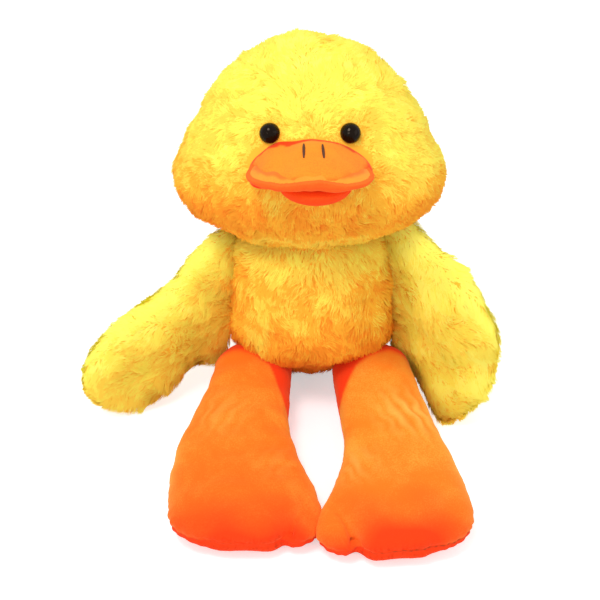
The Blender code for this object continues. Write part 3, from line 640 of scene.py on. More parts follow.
# The duck's forms: sizes in metres, with tables of shares along their length
TORSO = dict(
    start=-0.009, length=0.132, width=0.108, up=0.047, down=0.045, caps=(0.066, 0.066),
    width_shares=(1.24, 1.23, 1.14, 1.04, 0.98, 0.95, 0.94, 0.96, 1.02, 1.08, 1.12),
    thick_shares=(1, 1, 1, 1, 1, 0.97, 0.93, 0.88, 0.86, 0.88, 0.92),
    fullness=2.7, lean=0.03,
    lean_shares=(0, 0.03, 0.2, 0.5, 0.8, 0.96, 1, 1, 1, 1, 1),
)
HEAD = dict(
    start=-0.012, length=0.1262, width=0.156, up=0.06, down=0.06, caps=(0.0625, 0.0625),
    width_shares=(1.03, 1.1, 1.13, 1.11, 1.03, 0.935, 0.865, 0.83, 0.82, 0.83, 0.85),
    thick_shares=(1.02, 1.05, 1.06, 1.04, 1, 0.98, 0.95, 0.92, 0.91, 0.91, 0.91),
)
CURL_SHARES = (0, 0, 0, 0.15, 0.4, 0.7, 0.9, 1, 1, 1, 1)
WING_RIGHT = dict(
    start=-0.0037, length=0.0962, width=0.084, up=0.015, down=0.015, caps=(0.0037, 0.0545),
    width_shares=(1.17, 1.23, 1.17, 1.05, 0.97, 0.92, 0.89, 0.88, 0.89, 0.92, 0.94),
    thick_shares=(0.8, 0.84, 0.88, 0.93, 0.98, 1, 1, 1, 1, 1, 1),
    drop=0.036,
    drop_shares=(0.04, -0.02, 0.02, 0.21, 0.48, 0.67, 0.82, 0.92, 0.98, 1.01, 1.05),
    curl=0.0135,
    curl_shares=CURL_SHARES,
)
WING_LEFT = dict(
    start=-0.0037, length=0.0828, width=0.118, up=0.015, down=0.015, caps=(0.0037, 0.0464),
    width_shares=(0.95, 1.03, 1.06, 1.04, 1.01, 1, 1.02, 1.02, 0.96, 0.95, 0.93),
    thick_shares=(0.8, 0.84, 0.88, 0.92, 0.96, 1, 1, 1, 1, 1, 1),
    drop=0.0095,
    drop_shares=(0.15, -0.2, -0.3, 0.0, 0.5, 0.87, 1, 0.97, 0.97, 0.84, 0.68),
    curl=-0.024,
    curl_shares=CURL_SHARES,
)
TAIL = dict(
    start=0, length=0.058, width=0.04, up=0.01, down=0.01, caps=(0.01, 0.02),
    width_shares=(1, 1, 0.95, 0.85, 0.7),
)
NECK = dict(start=-0.03, length=0.06, width=0.06, up=0.03, down=0.03, caps=(0.03, 0.03))
BILL = dict(
    start=0, length=0.052, width=0.07, up=0.017, down=0.0075, caps=(0.0075, 0.022),
    width_shares=(0.94, 0.96, 0.98, 0.99, 1, 1, 1),
    thick_shares=(0.78, 0.82, 0.86, 0.84, 0.72, 0.6, 0.5),
    fullness=2.3,
)
LOWER_BILL = dict(
    start=0, length=0.0475, width=0.04, up=0.0045, down=0.009, caps=(0.0045, 0.02)
)

# Where the forms sit in the frame
WING_LEAN_DEG = 8.534
WING_SIDE, WING_BACK, WING_HEIGHT = 0.050657, -0.027, 0.062
HIP_SIDE, HIP_BACK, HIP_HEIGHT = 0.036, -0.054, 0.0198
HIP_ROLL_DEG = 2.8

neck_at = Matrix.Translation((0, -0.028, 0.114))
head_at = neck_at @ Matrix.Translation((-0.002, 0, 0)) @ turned(-12, "X")
bill_at = Matrix.Translation((-0.002, -0.049656, 0.175343)) @ turned(-8, "X") @ FORWARD
tail_at = Matrix.Translation((0, 0.006758, 0.034)) @ turned(28, "X") @ turned(180, "Z")


def wing_at(side, swing):
    """The frame of a wing, hinged in the side seam of the body."""
    place = Matrix.Translation((side * WING_SIDE, WING_BACK, WING_HEIGHT))
    return place @ turned(-side * WING_LEAN_DEG, "Y") @ turned(side * (90 - swing), "Z")


def hip_at(side, splay):
    """The frame of a leg at its hip."""
    place = Matrix.Translation((side * HIP_SIDE, HIP_BACK, HIP_HEIGHT))
    return place @ turned(side * splay, "Z") @ turned(-side * HIP_ROLL_DEG, "Y")


wing_right_at = wing_at(-1, 29)
wing_left_at = wing_at(1, 45)
EYES = [Vector((0.019691, -0.059829, 0.193532)), Vector((-0.023691, -0.059829, 0.193532))]
EYE_RADIUS = 0.0057

# The backing lies this far inside each form, so that the pile comes back out to it.
PILE_INSET = 0.0028
WING_INSET = 0.0024
SMALL_INSET = 0.003
BACKING_FLOOR = 0.0008
BODY = dict(inset=PILE_INSET, bumps=0.0008)
WING = dict(inset=WING_INSET, floor=BACKING_FLOOR, bumps=0.0008, rows=48, around=64)

torso = Skin(TORSO, UPRIGHT, **BODY, floor=BACKING_FLOOR, seed=11)
neck = Skin(NECK, neck_at @ UPRIGHT, SMALL_INSET, rows=24, around=40)
head = Skin(HEAD, head_at @ UPRIGHT, **BODY, seed=12)
wing_right = Skin(WING_RIGHT, wing_right_at @ ON_EDGE, **WING, seed=13)
wing_left = Skin(WING_LEFT, wing_left_at @ ON_EDGE, **WING, seed=14)
tail = Skin(TAIL, tail_at @ FORWARD, SMALL_INSET, BACKING_FLOOR, 0.0004, 15, rows=36, around=40)
bill_form = Skin(BILL, bill_at)

# Grooms: which way the pile is brushed at each place
FACE_MIDDLE = np.array((-0.002, -0.09, 0.178))
FACE_OUT, FACE_DOWN = 0.9, np.array((0, 0, -0.75))
TORSO_OUT, TORSO_DOWN = 0.45, np.array((0, -0.1, -1))
WING_DOWN = np.array((0, -0.1, -0.4))
TAIL_BACK = np.array((0, 1.0, -0.1))
NECK_DOWN = np.array((0, -0.2, -1.0))


def groom_head(p):
    """Out from the face, then down."""
    return unit(p - FACE_MIDDLE) * FACE_OUT + FACE_DOWN


def groom_torso(p):
    """Down, and out to both sides."""
    return unit(p * np.array((1, 0.4, 0))) * TORSO_OUT + TORSO_DOWN


def groom_same(way):
    """One way all over."""
    return lambda p: np.tile(way, (len(p), 1))


def groom_wing(at):
    """Along the wing from its seam to its tip, and down."""
    return groom_same(np.array(at.to_3x3() @ Vector((0, -1, 0))) + WING_DOWN)


# Where pile grows, and where it is short
EYE_MARGIN = 0.0006
EYE_REACH = 0.009
BILL_REACH = 0.01
SHORTEST_SHARE = 0.25
FACE_SPLIT = -0.026
UPPER_FACE = 0.168


def head_length(p):
    """Shorter near the eyes and the bill, so that both stay clear."""
    near = np.ones(len(p))
    for eye in EYES:
        apart = np.linalg.norm(p - np.array(eye), axis=1)
        near = np.minimum(near, np.clip((apart - EYE_RADIUS) / EYE_REACH, SHORTEST_SHARE, 1))
    by_bill = SHORTEST_SHARE + bill_form.distance(p) / BILL_REACH
    return np.minimum(near, np.clip(by_bill, SHORTEST_SHARE, 1))


def clear_of(*skins, deeper=0.004):
    """A test for points that lie no deeper than this inside any of the skins."""
    return lambda point: not any(skin.holds(point, deeper) for skin in skins)


clear_of_torso = clear_of(torso)
clear_of_body = clear_of(torso, neck, deeper=0.006)
clear_of_head = clear_of(head, deeper=0.008)
clear_of_both = clear_of(torso, head, deeper=0.003)


def on_head(point):
    """Whether pile grows here, which is neither on the eyes nor under the bill."""
    if any((point - eye).length < EYE_RADIUS + EYE_MARGIN for eye in EYES):
        return False
    return not bill_form.holds(point) and clear_of_body(point)


def front_up(p):
    """The face above its split."""
    return (p[:, 1] < FACE_SPLIT) & (p[:, 2] >= UPPER_FACE)


def front_down(p):
    """The face below its split."""
    return (p[:, 1] < FACE_SPLIT) & (p[:, 2] < UPPER_FACE)


def behind(p):
    """The back of the head."""
    return p[:, 1] >= FACE_SPLIT


# Shades of the pile: each pair is where one begins and where it is full, and a minus makes it paler. The
# head, torso and wing shades are painted shade.
HEAD_MIDDLE = -0.002
EYE_SHADE = (0.0144, 0.0054)
CHEEK_ACROSS, CHEEK_HEIGHT = (0.045, 0.06), (0.16, 0.145)
RIGHT_ACROSS, RIGHT_HEIGHT = (-0.015, -0.035), (0.19, 0.16)
CHIN_ACROSS, CHIN_HEIGHT = (0.045, 0.03), (0.14, 0.13)
HEAD_PAINTED_SHADES = {"cheeks": 0.5, "right": 0.5, "chin": -1.1, "bill": 0.5, "eyes": 0.7}
BELLY_HALF, BELLY_HEIGHT = 0.05, (0.05, 0.03)
TORSO_PAINTED_SHADES = {"all": 0.3, "wings": 0.9, "head": 0.6, "low": 1.1, "pale": -2.4}
WING_HEIGHTS = (0.03, 0.01)
WING_PAINTED_SHADES = {"torso": 0.75, "low": 0.6}
PLAIN_SHADE = 0.6


def near_to(skin, p, reach):
    """1 on a skin, falling to 0 at this reach from it."""
    return rise_over(skin.distance(p), reach, 0)


def mixed_shade(amounts, places):
    """All the shades of a place, each at its own amount."""
    return sum(amounts[name] * weight for name, weight in places.items())


def painted_shade_head(p):
    """Painted shade: deeper by the eyes, the bill, on the cheeks and low on the right cheek, and paler under
    the chin.
    """
    x, _, z = p.T
    eyes = [rise_over(np.linalg.norm(p - np.array(eye), axis=1), *EYE_SHADE) for eye in EYES]
    places = {
        "cheeks": rise_over(np.abs(x - HEAD_MIDDLE), *CHEEK_ACROSS) * rise_over(z, *CHEEK_HEIGHT),
        "right": rise_over(x, *RIGHT_ACROSS) * rise_over(z, *RIGHT_HEIGHT),
        "chin": rise_over(z, *CHIN_HEIGHT) * rise_over(np.abs(x), *CHIN_ACROSS),
        "bill": near_to(bill_form, p, 0.008),
        "eyes": sum(eyes),
    }
    return mixed_shade(HEAD_PAINTED_SHADES, places)


def painted_shade_torso(p):
    """Painted shade: deeper all over, by the wings, the head and low on the belly, with one pale patch by
    the right leg.
    """
    x, _, z = p.T
    places = {
        "all": np.ones(len(p)),
        "wings": np.maximum(near_to(wing_left, p, 0.007), near_to(wing_right, p, 0.007)),
        "head": near_to(head, p, 0.012),
        "low": rise_over(z, *BELLY_HEIGHT) * (np.abs(x) < BELLY_HALF),
        "pale": bump_of(x + 0.0325, 0.008) * bump_of(z - 0.053, 0.015),
    }
    return mixed_shade(TORSO_PAINTED_SHADES, places)


def painted_shade_wing(base):
    """How much painted shade a wing's pile has near the body and along its lower edge, on top of its base.
    """

    def shade(p):
        places = {"torso": near_to(torso, p, 0.014), "low": rise_over(p[:, 2], *WING_HEIGHTS)}
        return base + mixed_shade(WING_PAINTED_SHADES, places)

    return shade


def shade_all(p):
    """One shade all over."""
    return np.full(len(p), PLAIN_SHADE)


LONG = 0.006
ON_HEAD = dict(skin=head, length=LONG, groom=groom_head, keep=on_head, seed=21, shade=painted_shade_head)
ON_TORSO = dict(skin=torso, length=LONG * 1.1, groom=groom_torso, keep=clear_of_head, seed=31)
ON_WING = dict(length=LONG, keep=clear_of_torso)
# A wing's minus base takes painted shade back off its pile; the left wing's larger base is painted light, as
# that wing is lit more.
ON_RIGHT = dict(skin=wing_right, groom=groom_wing(wing_right_at), seed=41, shade=painted_shade_wing(-1.7))
ON_LEFT = dict(skin=wing_left, groom=groom_wing(wing_left_at), seed=51, shade=painted_shade_wing(-2.4))
ON_TAIL = dict(skin=tail, groom=groom_same(TAIL_BACK), keep=clear_of_torso, seed=61)
ON_NECK = dict(skin=neck, groom=groom_same(NECK_DOWN), keep=clear_of_both, seed=71)
SMALL_PILE = dict(length=LONG * 0.8, shade=shade_all)
PILES = {
    "head_front_pile": ("head", dict(**ON_HEAD, short=head_length, part=front_up)),
    "torso_pile": ("torso", dict(**ON_TORSO, shade=painted_shade_torso)),
    "wing_right_pile": ("wing_right", dict(**ON_WING, **ON_RIGHT)),
    "wing_left_pile": ("wing_left", dict(**ON_WING, **ON_LEFT)),
    "tail_pile": ("torso", dict(**ON_TAIL, **SMALL_PILE)),
    "neck_pile": ("neck", dict(**ON_NECK, **SMALL_PILE)),
    "head_chin_pile": ("head", dict(**ON_HEAD, short=head_length, part=front_down)),
    "head_back_pile": ("head", dict(**ON_HEAD, part=behind)),
}
for name, (body, values) in PILES.items():
    piece = pile(name, **values)
    piece.visible_shadow = False
    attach(piece, body)

# The backing of each form, the body that it rides with and the pieces of that form that it stands for
COVERS = ("front_cover", "back_cover", "stuffing")
BACKINGS = {
    "head": (head, "head", COVERS),
    "torso": (torso, "torso", COVERS),
    "wing_right": (wing_right, "wing_right", COVERS),
    "wing_left": (wing_left, "wing_left", COVERS),
    "tail": (tail, "torso", ("top_panel", "under_panel", "stuffing")),
    "neck": (neck, "neck", ("stuffing",)),
}
for name, (skin, body, pieces) in BACKINGS.items():
    piece = skin.object(f"{name}_backing", [BACKING])
    nodes = [f"{name}_{part}" for part in pieces]
    if name == "torso":
        nodes += ["seat_panel", "pellet_bag"]
    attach(piece, body)
    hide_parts(*nodes)

# Legs: in the tables by side, -1 is the duck's right and 1 its left.
HIP_RADIUS = 0.019
LEG_FULLNESS = 2.6
LEG_SQUARENESS = 2.3
LEG_BOW = 0.005
LEG = dict(
    start=-0.0235, length=0.1625, width=0.0845, caps=(HIP_RADIUS, 0.024),
    width_shares=(0.52, 0.55, 0.575, 0.6, 0.65, 0.73, 0.82, 0.91, 0.97, 1, 1),
    thick_shares=(1, 1, 1, 0.97, 0.93, 0.88, 0.83, 0.78, 0.74, 0.71, 0.69),
    bow_shares=(0, 0, 0.2, 0.5, 0.85, 1, 0.9, 0.65, 0.35, 0.1, 0),
)
OUTER_SHARES = {
    -1: (1, 1, 1, 1.03, 1.07, 1.08, 1.05, 1.02, 0.99, 0.98, 0.98),
    1: (1, 1, 1, 0.98, 0.94, 0.93, 0.95, 0.98, 1.005, 1.01, 1),
}
INNER_SHARES = {
    -1: (1, 1, 1, 1, 1, 1, 1.03, 1.06, 1.07, 1.06, 1.05),
    1: (1, 1, 1, 1, 0.96, 0.89, 0.87, 0.92, 1.02, 1.06, 1.05),
}
# The band is painted shadow along the top of each leg under the belly; the toe's deeper red is partly the
# velour's own and partly painted shade.
BAND_PLACES = (0.011, 0.018, 0.026, 0.034, 0.046)
BAND_EDGE = {-1: (-0.106, -0.086, -0.064, -0.057, -0.052), 1: (-0.1, -0.08, -0.066, -0.059, -0.052)}
DEEP_PLACES, DEEP_SHARES = (0.12, 0.16, 0.176, 0.186, 0.193), (0, 0.25, 0.5, 0.8, 1)
# The right leg's toe gets more of it, as painted shade.
TOE_DEEP_SHARES = {-1: 1.2, 1: 1.0}
TOE_SIDE = {-1: 0.0005, 1: -0.0005}
WRINKLE_SHARES = {-1: 0.3, 1: 1.0}
WRINKLE_LENGTH = 0.0075
WRINKLE_DEPTH = 0.0007
TOE_NOTCHES = ((-0.53, 0.0062), (0.45, 0.00124))
TOE_FOLD = 0.0034
LOBE_DROP = 0.0035
SEAM_DEPTH, SEAM_WIDTH = 0.0011, 0.0016
PUCKER_DEPTH, PUCKER_LENGTH, PUCKER_WIDTH = 0.00042, 0.0062, 0.0055
DENT_DEPTH, DENT_SIZE = 0.00045, 0.022
DENT_MARGIN, FOLD_MARGIN = 0.006, 0.004
STITCH_LENGTH, STITCH_WIDTH, SEAM_LINE_WIDTH = 0.0036, 0.0007, 0.0006
SEAM_PLACE_SHARES, SEAM_DROP_SHARES = (0, 0.5, 0.85, 1), (0, 0.1, 0.2, 0.12)
NOTCH_WIDTH_SHARE, LOBE_SHARES = 0.11, (-0.62, -0.5)
TOE_START, TOE_FULL = 0.085, 0.115
OUTER_ANKLE, INNER_ANKLE = ((0.018, -0.05), 0.016), ((-0.02, -0.085), 0.012)
INNER_FOLD_DEPTH, INNER_FOLD_LENGTH = 0.0003, 0.007
# The rim is painted sheen near the seam, about the middle of the leg.
RIM_PLACE, RIM_WIDTH, RIM_MIDDLE, RIM_REACH, RIM_SHARE = 0.005, 0.005, -0.092, 0.02, 0.5
CREASE_PLACE, CREASE_DEPTH, CREASE_WIDTH, CREASE_REACH = (0.012, -0.058), 0.0007, 0.004, 0.014
RAGGED, RAGGED_SIZE = 0.005, 0.03
BAND_BLUR = 0.005
DARK_SHARES = {-1: 0.35, 1: 1.0}
LEG_FLOOR = 0.0006
TOE_REACH = {-1: -0.0034, 1: 0.0026}
ROWS = 170
UPPER = 150
LOWER = 90


def grid_faces(rows, columns):
    """Quads of an open grid."""
    grid = np.arange(rows * columns).reshape(rows, columns)
    a, b = grid[:-1], grid[1:]
    return np.stack([a[:, :-1], a[:, 1:], b[:, 1:], b[:, :-1]], -1).reshape(-1, 4)


def leg_surface(side, upper, columns):
    """A leg's skin from seam to seam, over the top or under it, and its places along the leg."""
    z, full = stations(LEG["start"], LEG["length"], LEG["caps"], LEG_FULLNESS, ROWS)
    z = np.concatenate([[LEG["start"]], z, [LEG["start"] + LEG["length"]]])
    full = np.concatenate([[0.0], full, [0.0]])
    t = (z - LEG["start"]) / LEG["length"]
    half = LEG["width"] / 2 * curve(LEG["width_shares"], t) * full
    share = curve(LEG["thick_shares"], t)
    thick = HIP_RADIUS * share * full
    lift = (share - 1) * HIP_RADIUS
    middle = side * LEG_BOW * curve(LEG["bow_shares"], t) + TOE_SIDE[side] * rise_over(t, 0.7, 0.9)
    z = z + TOE_REACH[side] * rise_over(t, 0.5, 0.9)
    seam = np.interp(t, SEAM_PLACE_SHARES, SEAM_DROP_SHARES)
    below = np.arcsin(np.clip(seam, 0, 1) ** (LEG_SQUARENESS / 2))[:, None]
    start = -below if upper else math.pi + below
    stop = math.pi + below if upper else 2 * math.pi - below
    angle = start + (stop - start) * np.linspace(0, 1, columns)[None, :]
    c, v = np.cos(angle), np.sin(angle)
    power = 2 / LEG_SQUARENESS
    across = np.sign(c) * np.abs(c) ** power * half[:, None]
    outer, inner = (curve(table[side], t)[:, None] for table in (OUTER_SHARES, INNER_SHARES))
    across = across * np.where(side * across > 0, outer, inner)
    up = np.sign(v) * np.abs(v) ** power * thick[:, None] + lift[:, None]
    point = np.stack([middle[:, None] + across, np.broadcast_to(-z[:, None], c.shape), up], -1)
    tip = LEG["start"] + LEG["length"]
    near_tip = np.clip(1 - (tip - z) / LEG["caps"][1], 0, 1)[:, None]
    share_across = side * across / (LEG["width"] / 2)
    for place, depth in TOE_NOTCHES:
        point[:, :, 1] += depth * bump_of(share_across - place, NOTCH_WIDTH_SHARE) * near_tip
    lobe = np.interp(share_across, LOBE_SHARES, (1, 0)) * near_tip
    point[:, :, 2] -= LOBE_DROP * lobe * np.maximum(v, 0)
    return point, z


def leg_panel(name, side, matrix, look, upper):
    """One velour panel of a leg, drawn in along its seam, with its folds, dents and marks: stitches, painted
    sheen and painted shade.
    """
    columns = UPPER if upper else LOWER
    point, z = leg_surface(side, upper, columns)
    rows = len(z)
    flat = point.reshape(-1, 3)
    quads = grid_faces(rows, columns)
    if upper:
        quads = quads[:, ::-1]
    normal = point_normals(flat, as_tris(quads))
    if dots(flat - flat.mean(0), normal).sum() < 0:
        quads, normal = quads[:, ::-1], -normal
    seams = (point[:, 0], point[:, -1])
    finder = nearest_finder(np.concatenate(seams))
    found = [finder.find(p) for p in flat]
    apart = np.array([f[2] for f in found])
    at = np.array([f[1] for f in found])
    runs = [np.linalg.norm(np.diff(seam, axis=0), axis=1).cumsum() for seam in seams]
    arc = np.concatenate([[0], runs[0], [0], runs[1]])[at]
    toe = rise_over(z[at % rows], TOE_START, TOE_FULL)
    draw = -SEAM_DEPTH * bump_of(apart, SEAM_WIDTH)
    pucker = wave(arc, PUCKER_LENGTH, 1.2 * wobble(flat, 0.02, 81)) * bump_of(apart, PUCKER_WIDTH)
    draw = draw + PUCKER_DEPTH * (0.25 + 0.75 * toe) * pucker
    draw = draw + DENT_DEPTH * wobble(flat, DENT_SIZE, 82 + side) * rise_over(apart, 0, DENT_MARGIN)
    pale = np.zeros(len(flat))
    if upper:
        x, y, _ = flat.T
        across = side * x / (LEG["width"] / 2)
        back = LEG["start"] + LEG["length"] + y
        fold = bump_of(across + 0.52 + 10 * back, 0.05) * np.clip(1.2 - back / 0.03, 0, 1)
        draw = draw - TOE_FOLD * fold * rise_over(apart, 0, FOLD_MARGIN)
        outer_ankle, inner_ankle = (
            bump_of(np.hypot(side * x - place[0], y - place[1]), size)
            for place, size in (OUTER_ANKLE, INNER_ANKLE)
        )
        slant = (y + 2.2 * side * x) / 2.4
        uneven = wobble(flat, 0.015, 84)
        folds = wave(slant, WRINKLE_LENGTH, 0.8 * uneven)
        draw = draw + WRINKLE_DEPTH * WRINKLE_SHARES[side] * folds * outer_ankle
        draw = draw + INNER_FOLD_DEPTH * wave(y + 0.3 * side * x, INNER_FOLD_LENGTH) * inner_ankle
        # Pale streaks on the wrinkle crests and the pale rim near the seam are painted sheen.
        streak = 0.5 + 0.5 * wave(slant, WRINKLE_LENGTH, 1.5 * uneven)
        pale = WRINKLE_SHARES[side] * (0.9 * outer_ankle + 0.6 * inner_ankle) * streak
        rim = bump_of(apart - RIM_PLACE, RIM_WIDTH) * bump_of(y - RIM_MIDDLE, RIM_REACH)
        pale = np.maximum(pale, RIM_SHARE * rim)
        crease = bump_of(y + 0.1 * x - CREASE_PLACE[1], CREASE_WIDTH)
        crease = crease * bump_of(x - side * CREASE_PLACE[0], CREASE_REACH)
        draw = draw - CREASE_DEPTH * crease
    blend = rise_over(apart, 0, FOLD_MARGIN)[:, None]
    middle = np.repeat(point.mean(1, keepdims=True), columns, axis=1).reshape(-1, 3)
    way = unit(blend * normal + (1 - blend) * unit(flat - middle * np.array((1, 1, 0))))
    flat = moved(flat + way * draw[:, None], matrix)
    flat[:, 2] = np.maximum(flat[:, 2], LEG_FLOOR)
    # Deep marks: the toe deepens towards its front, partly painted shade, and the band under the belly is
    # painted shadow.
    ragged = RAGGED * wobble(flat, RAGGED_SIZE, 83)
    deep = np.interp(ragged - flat[:, 1], DEEP_PLACES, DEEP_SHARES)
    deep = np.minimum(deep * TOE_DEEP_SHARES[side], 1)
    edge = np.interp(side * flat[:, 0], BAND_PLACES, BAND_EDGE[side])
    painted_shadow_band = rise_over(flat[:, 1] + ragged / 3, edge, edge + BAND_BLUR)
    deep = np.maximum(deep, painted_shadow_band)
    sewn = toe * DARK_SHARES[side] * np.interp(side * flat[:, 0], (0.03, 0.045), (0.25, 1))
    stitch = bump_of(apart, STITCH_WIDTH) * (wave(arc, STITCH_LENGTH) > 0.2)
    dark = sewn * np.maximum(0.8 * stitch, 0.35 * bump_of(apart, SEAM_LINE_WIDTH))
    return mesh_object(name, flat, [quads], [look], marks={"pale": pale, "deep": deep, "dark": dark})


for name, side, splay in (("right", -1, 1.2), ("left", 1, 4.2)):
    matrix = hip_at(side, splay)
    upper = leg_panel(f"leg_{name}_upper_velour", side, matrix, orange[name], True)
    under = leg_panel(f"leg_{name}_sole_velour", side, matrix, sole, False)
    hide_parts(f"leg_{name}_upper_panel", f"leg_{name}_stuffing")
    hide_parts(f"leg_{name}_sole_panel")
    for panel in (upper, under):
        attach(panel, f"leg_{name}")


# Bill
NOSTRILS = (("right", -0.0034, 0.0), ("left", 0.0065, 0.0008))


def thread(name, path, radius, look, around=8):
    """A round thread along a path of points."""
    path = np.asarray(path, float)
    along = unit(np.gradient(path, axis=0))
    side = unit(np.cross(along, np.array((0.31, 0.17, 0.94))))
    other = np.cross(along, side)
    angle = 2 * math.pi * np.arange(around) / around
    size = radius * np.sqrt(np.clip(np.sin(np.linspace(0.18, math.pi - 0.18, len(path))), 0, 1))
    ring = side[:, None] * np.cos(angle)[None, :, None] + other[:, None] * np.sin(angle)[None, :, None]
    points = (path[:, None] + ring * size[:, None, None]).reshape(-1, 3)
    points = np.concatenate([points, path[:1], path[-1:]])
    quads, caps = closed_faces(len(path), around)
    return mesh_object(name, points, [quads, caps], [look])


DOME = dict(
    start=0, length=0.0495, width=0.066, up=0.017, down=0.004, caps=(0.0075, 0.021),
    width_shares=(1.02, 1.03, 1.02, 1.0, 0.98, 0.96, 0.95),
    thick_shares=(0.78, 0.82, 0.87, 0.87, 0.78, 0.66, 0.55),
    fullness=2.3,
)
LIP = dict(
    start=0, length=0.0515, width=0.0695, up=0.0046, down=0.0074, caps=(0.0075, 0.022),
    width_shares=(0.7, 0.78, 0.87, 0.94, 0.99, 1, 1),
    thick_shares=(1, 1, 1, 1, 0.98, 0.96, 0.92),
    fullness=2.5, squareness=2.7,
)
HOLLOW_PLACE, HOLLOW_DEPTH, HOLLOW_WIDTH = (-0.014, 0.037), 0.0012, 0.009
DOME_DENT, DOME_DENT_SIZE = 0.0007, 0.02
LIP_DENT, LIP_DENT_SIZE = 0.00022, 0.008
LIP_DRAW, LIP_DRAW_WIDTH = 0.0013, 0.0009
LIP_ROLL, LIP_ROLL_HEIGHT, LIP_ROLL_WIDTH = 0.0006, 0.0026, 0.0012
HEAD_SHADOW = (0.003, 0.0042)
NOSTRIL_RADIUS, NOSTRIL_LIFT = 0.0008, 0.0002
NOSTRIL_ABOVE, NOSTRIL_START, NOSTRIL_LENGTH = 0.04, 0.0245, 0.0112
LIP_SEAM = 0.0023
LIP_RISE = 0.0028
BILL_DROOP = 0.0048


def lip_wave(x):
    """How far the lip rises and dips across the bill."""
    places = (-0.036, -0.022, -0.0135, -0.004, 0.006, 0.018, 0.028, 0.036)
    rises = (0.0022, 0.0004, -0.0008, 0.0, 0.0009, -0.0006, 0.0004, 0.002)
    return curve(rises, (np.interp(x, places, np.linspace(0, 1, len(places)))))


def from_middle(x, along):
    """0 in the middle of the bill and 1 at its rim, for points given across and along it."""
    return np.hypot(x / 0.035, np.clip(along - 0.028, 0, 1) / 0.0235)


def bill_surface(name, form, looks, draw_in, split, rows, around):
    """A cushion of the bill in its own axes, shaped by draw_in, with a second look below split, which on the
    lip is painted shade under its roll.
    """
    ring, ends = form_points(form, 0.0, rows, around)
    points = np.concatenate([ring.reshape(-1, 3), ends])
    quads, caps = closed_faces(len(ring), around)
    normal = point_normals(points, as_tris(quads, caps))
    if dots(points - points.mean(0), normal).sum() < 0:
        quads, caps, normal = quads[:, ::-1], caps[:, ::-1], -normal
    heights = np.concatenate([points[quads, 1].mean(1), points[caps, 1].mean(1)])
    index = (heights < split).astype(int) if split is not None else None
    x, up, along = points.T
    points = moved(draw_in(points, normal), bill_at)
    # The deep mark is painted shade: by the head, low on the dome towards the lip and its corners, and in
    # the crease inside the lip's roll.
    ragged = 0.0004 * wobble(points, 0.006, 93)
    apart = head.distance(points)
    deep = np.interp(apart + 2 * ragged, HEAD_SHADOW, (1, 0))
    if split is None:
        corner = np.interp(np.abs(x - 0.001), (0.014, 0.024), (0, 1))
        deep = np.maximum(deep, corner * np.interp(up + ragged, (0.005, 0.0075), (1, 0)))
        deep = np.maximum(deep, np.interp(up + ragged, (0.0035, 0.0055), (0.5, 0)))
    else:
        inner = np.interp(from_middle(x, along) + 40 * ragged, (0.82, 0.9), (0.5, 0)) * (np.abs(x) > 0.008)
        deep = np.maximum(deep, inner * (up > split))
    return mesh_object(name, points, [quads, caps], looks, index, marks={"deep": deep})


def dome_shape(points, normal):
    """Soft hollows of the dome, and its droop towards both corners of the lip."""
    x, _, along = points.T
    dent = DOME_DENT * wobble(points, DOME_DENT_SIZE, 91)
    away = np.hypot(x - HOLLOW_PLACE[0], along - HOLLOW_PLACE[1])
    hollow = -HOLLOW_DEPTH * bump_of(away, HOLLOW_WIDTH)
    made = points + normal * (dent + hollow)[:, None]
    made[:, 1] -= BILL_DROOP * (x / (DOME["width"] / 2)) ** 2
    return made


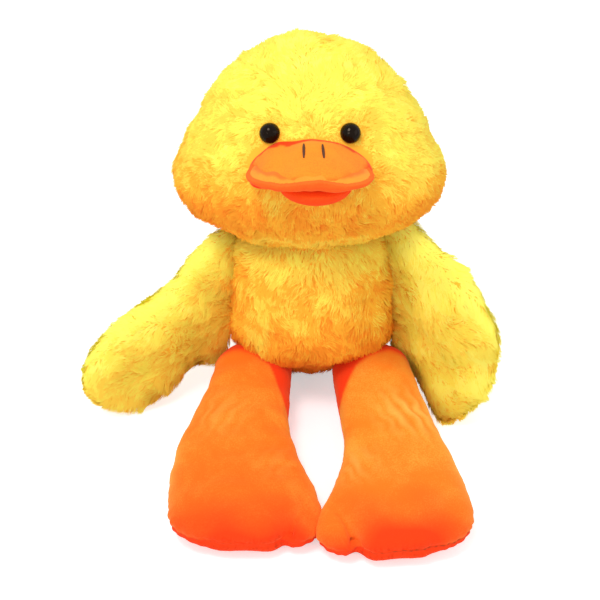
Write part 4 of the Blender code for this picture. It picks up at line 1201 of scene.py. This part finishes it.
def lip_shape(points, normal):
    """The roll of the lip, its wave, and the seam under it."""
    x, up, along = points.T
    rim = np.clip((from_middle(x, along) - 0.55) / 0.3, 0, 1)
    draw = -LIP_DRAW * bump_of(up - LIP_SEAM, LIP_DRAW_WIDTH) * rim
    draw = draw + LIP_ROLL * bump_of(up - LIP_ROLL_HEIGHT, LIP_ROLL_WIDTH) * rim
    draw = draw + LIP_DENT * wobble(points, LIP_DENT_SIZE, 92)
    made = points + normal * draw[:, None]
    made[:, 1] -= np.minimum(made[:, 1] - LIP_SEAM, 0) * 0.7 * np.clip(np.abs(x) / 0.034, 0, 1) ** 3
    waved = lip_wave(x) * rim * rise_over(up, -0.006, 0)
    made[:, 1] += LIP_RISE - BILL_DROOP * (x / (DOME["width"] / 2)) ** 2 + waved
    return made


DOME_GRID = ((90, 120))
LIP_GRID = ((120, 220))
LOWER_SIDE, LOWER_DROP = 0.003, 0.0068
dome = bill_surface("bill_dome_velour", DOME, [bill_top], dome_shape, None, *DOME_GRID)
lip = bill_surface("bill_lip_velour", LIP, [bill_lip_highlight, bill_under_shade], lip_shape, LIP_SEAM, *LIP_GRID)
lower = Skin(LOWER_BILL, bill_at @ Matrix.Translation((LOWER_SIDE, -LOWER_DROP, 0)))
lower_bill = lower.object("lower_bill_velour", [lower_red])
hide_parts("bill_top_panel", "bill_stuffing")
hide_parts("bill_under_panel")
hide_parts("lower_bill_top_panel", "lower_bill_under_panel", "lower_bill_stuffing")
for piece in (dome, lip, lower_bill):
    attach(piece, "head")

dome_faces = [tuple(face.vertices) for face in dome.data.polygons]
top = BVHTree.FromPolygons([vertex.co for vertex in dome.data.vertices], dome_faces)
down = -(bill_at.to_3x3() @ Vector((0, 1, 0)))
for name, x, slant in NOSTRILS:
    path = []
    for step in np.linspace(0, 1, 9):
        above = bill_at @ Vector((x + slant * step, NOSTRIL_ABOVE, NOSTRIL_START + NOSTRIL_LENGTH * step))
        path.append(top.ray_cast(above, down)[0] - down * NOSTRIL_LIFT)
    stitch = thread(f"nostril_stitch_{name}", path, NOSTRIL_RADIUS, dark_thread)
    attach(stitch, "head")

for name in ("eye_left", "eye_right"):
    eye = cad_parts[name]
    for place in eye.material_slots:
        place.material = black

# Floor
bpy.ops.mesh.primitive_plane_add(size=FLOOR_SIZE, location=(0, 0, 0))
floor = bpy.context.object
floor.name = "floor"
floor.data.materials.append(floor_look)
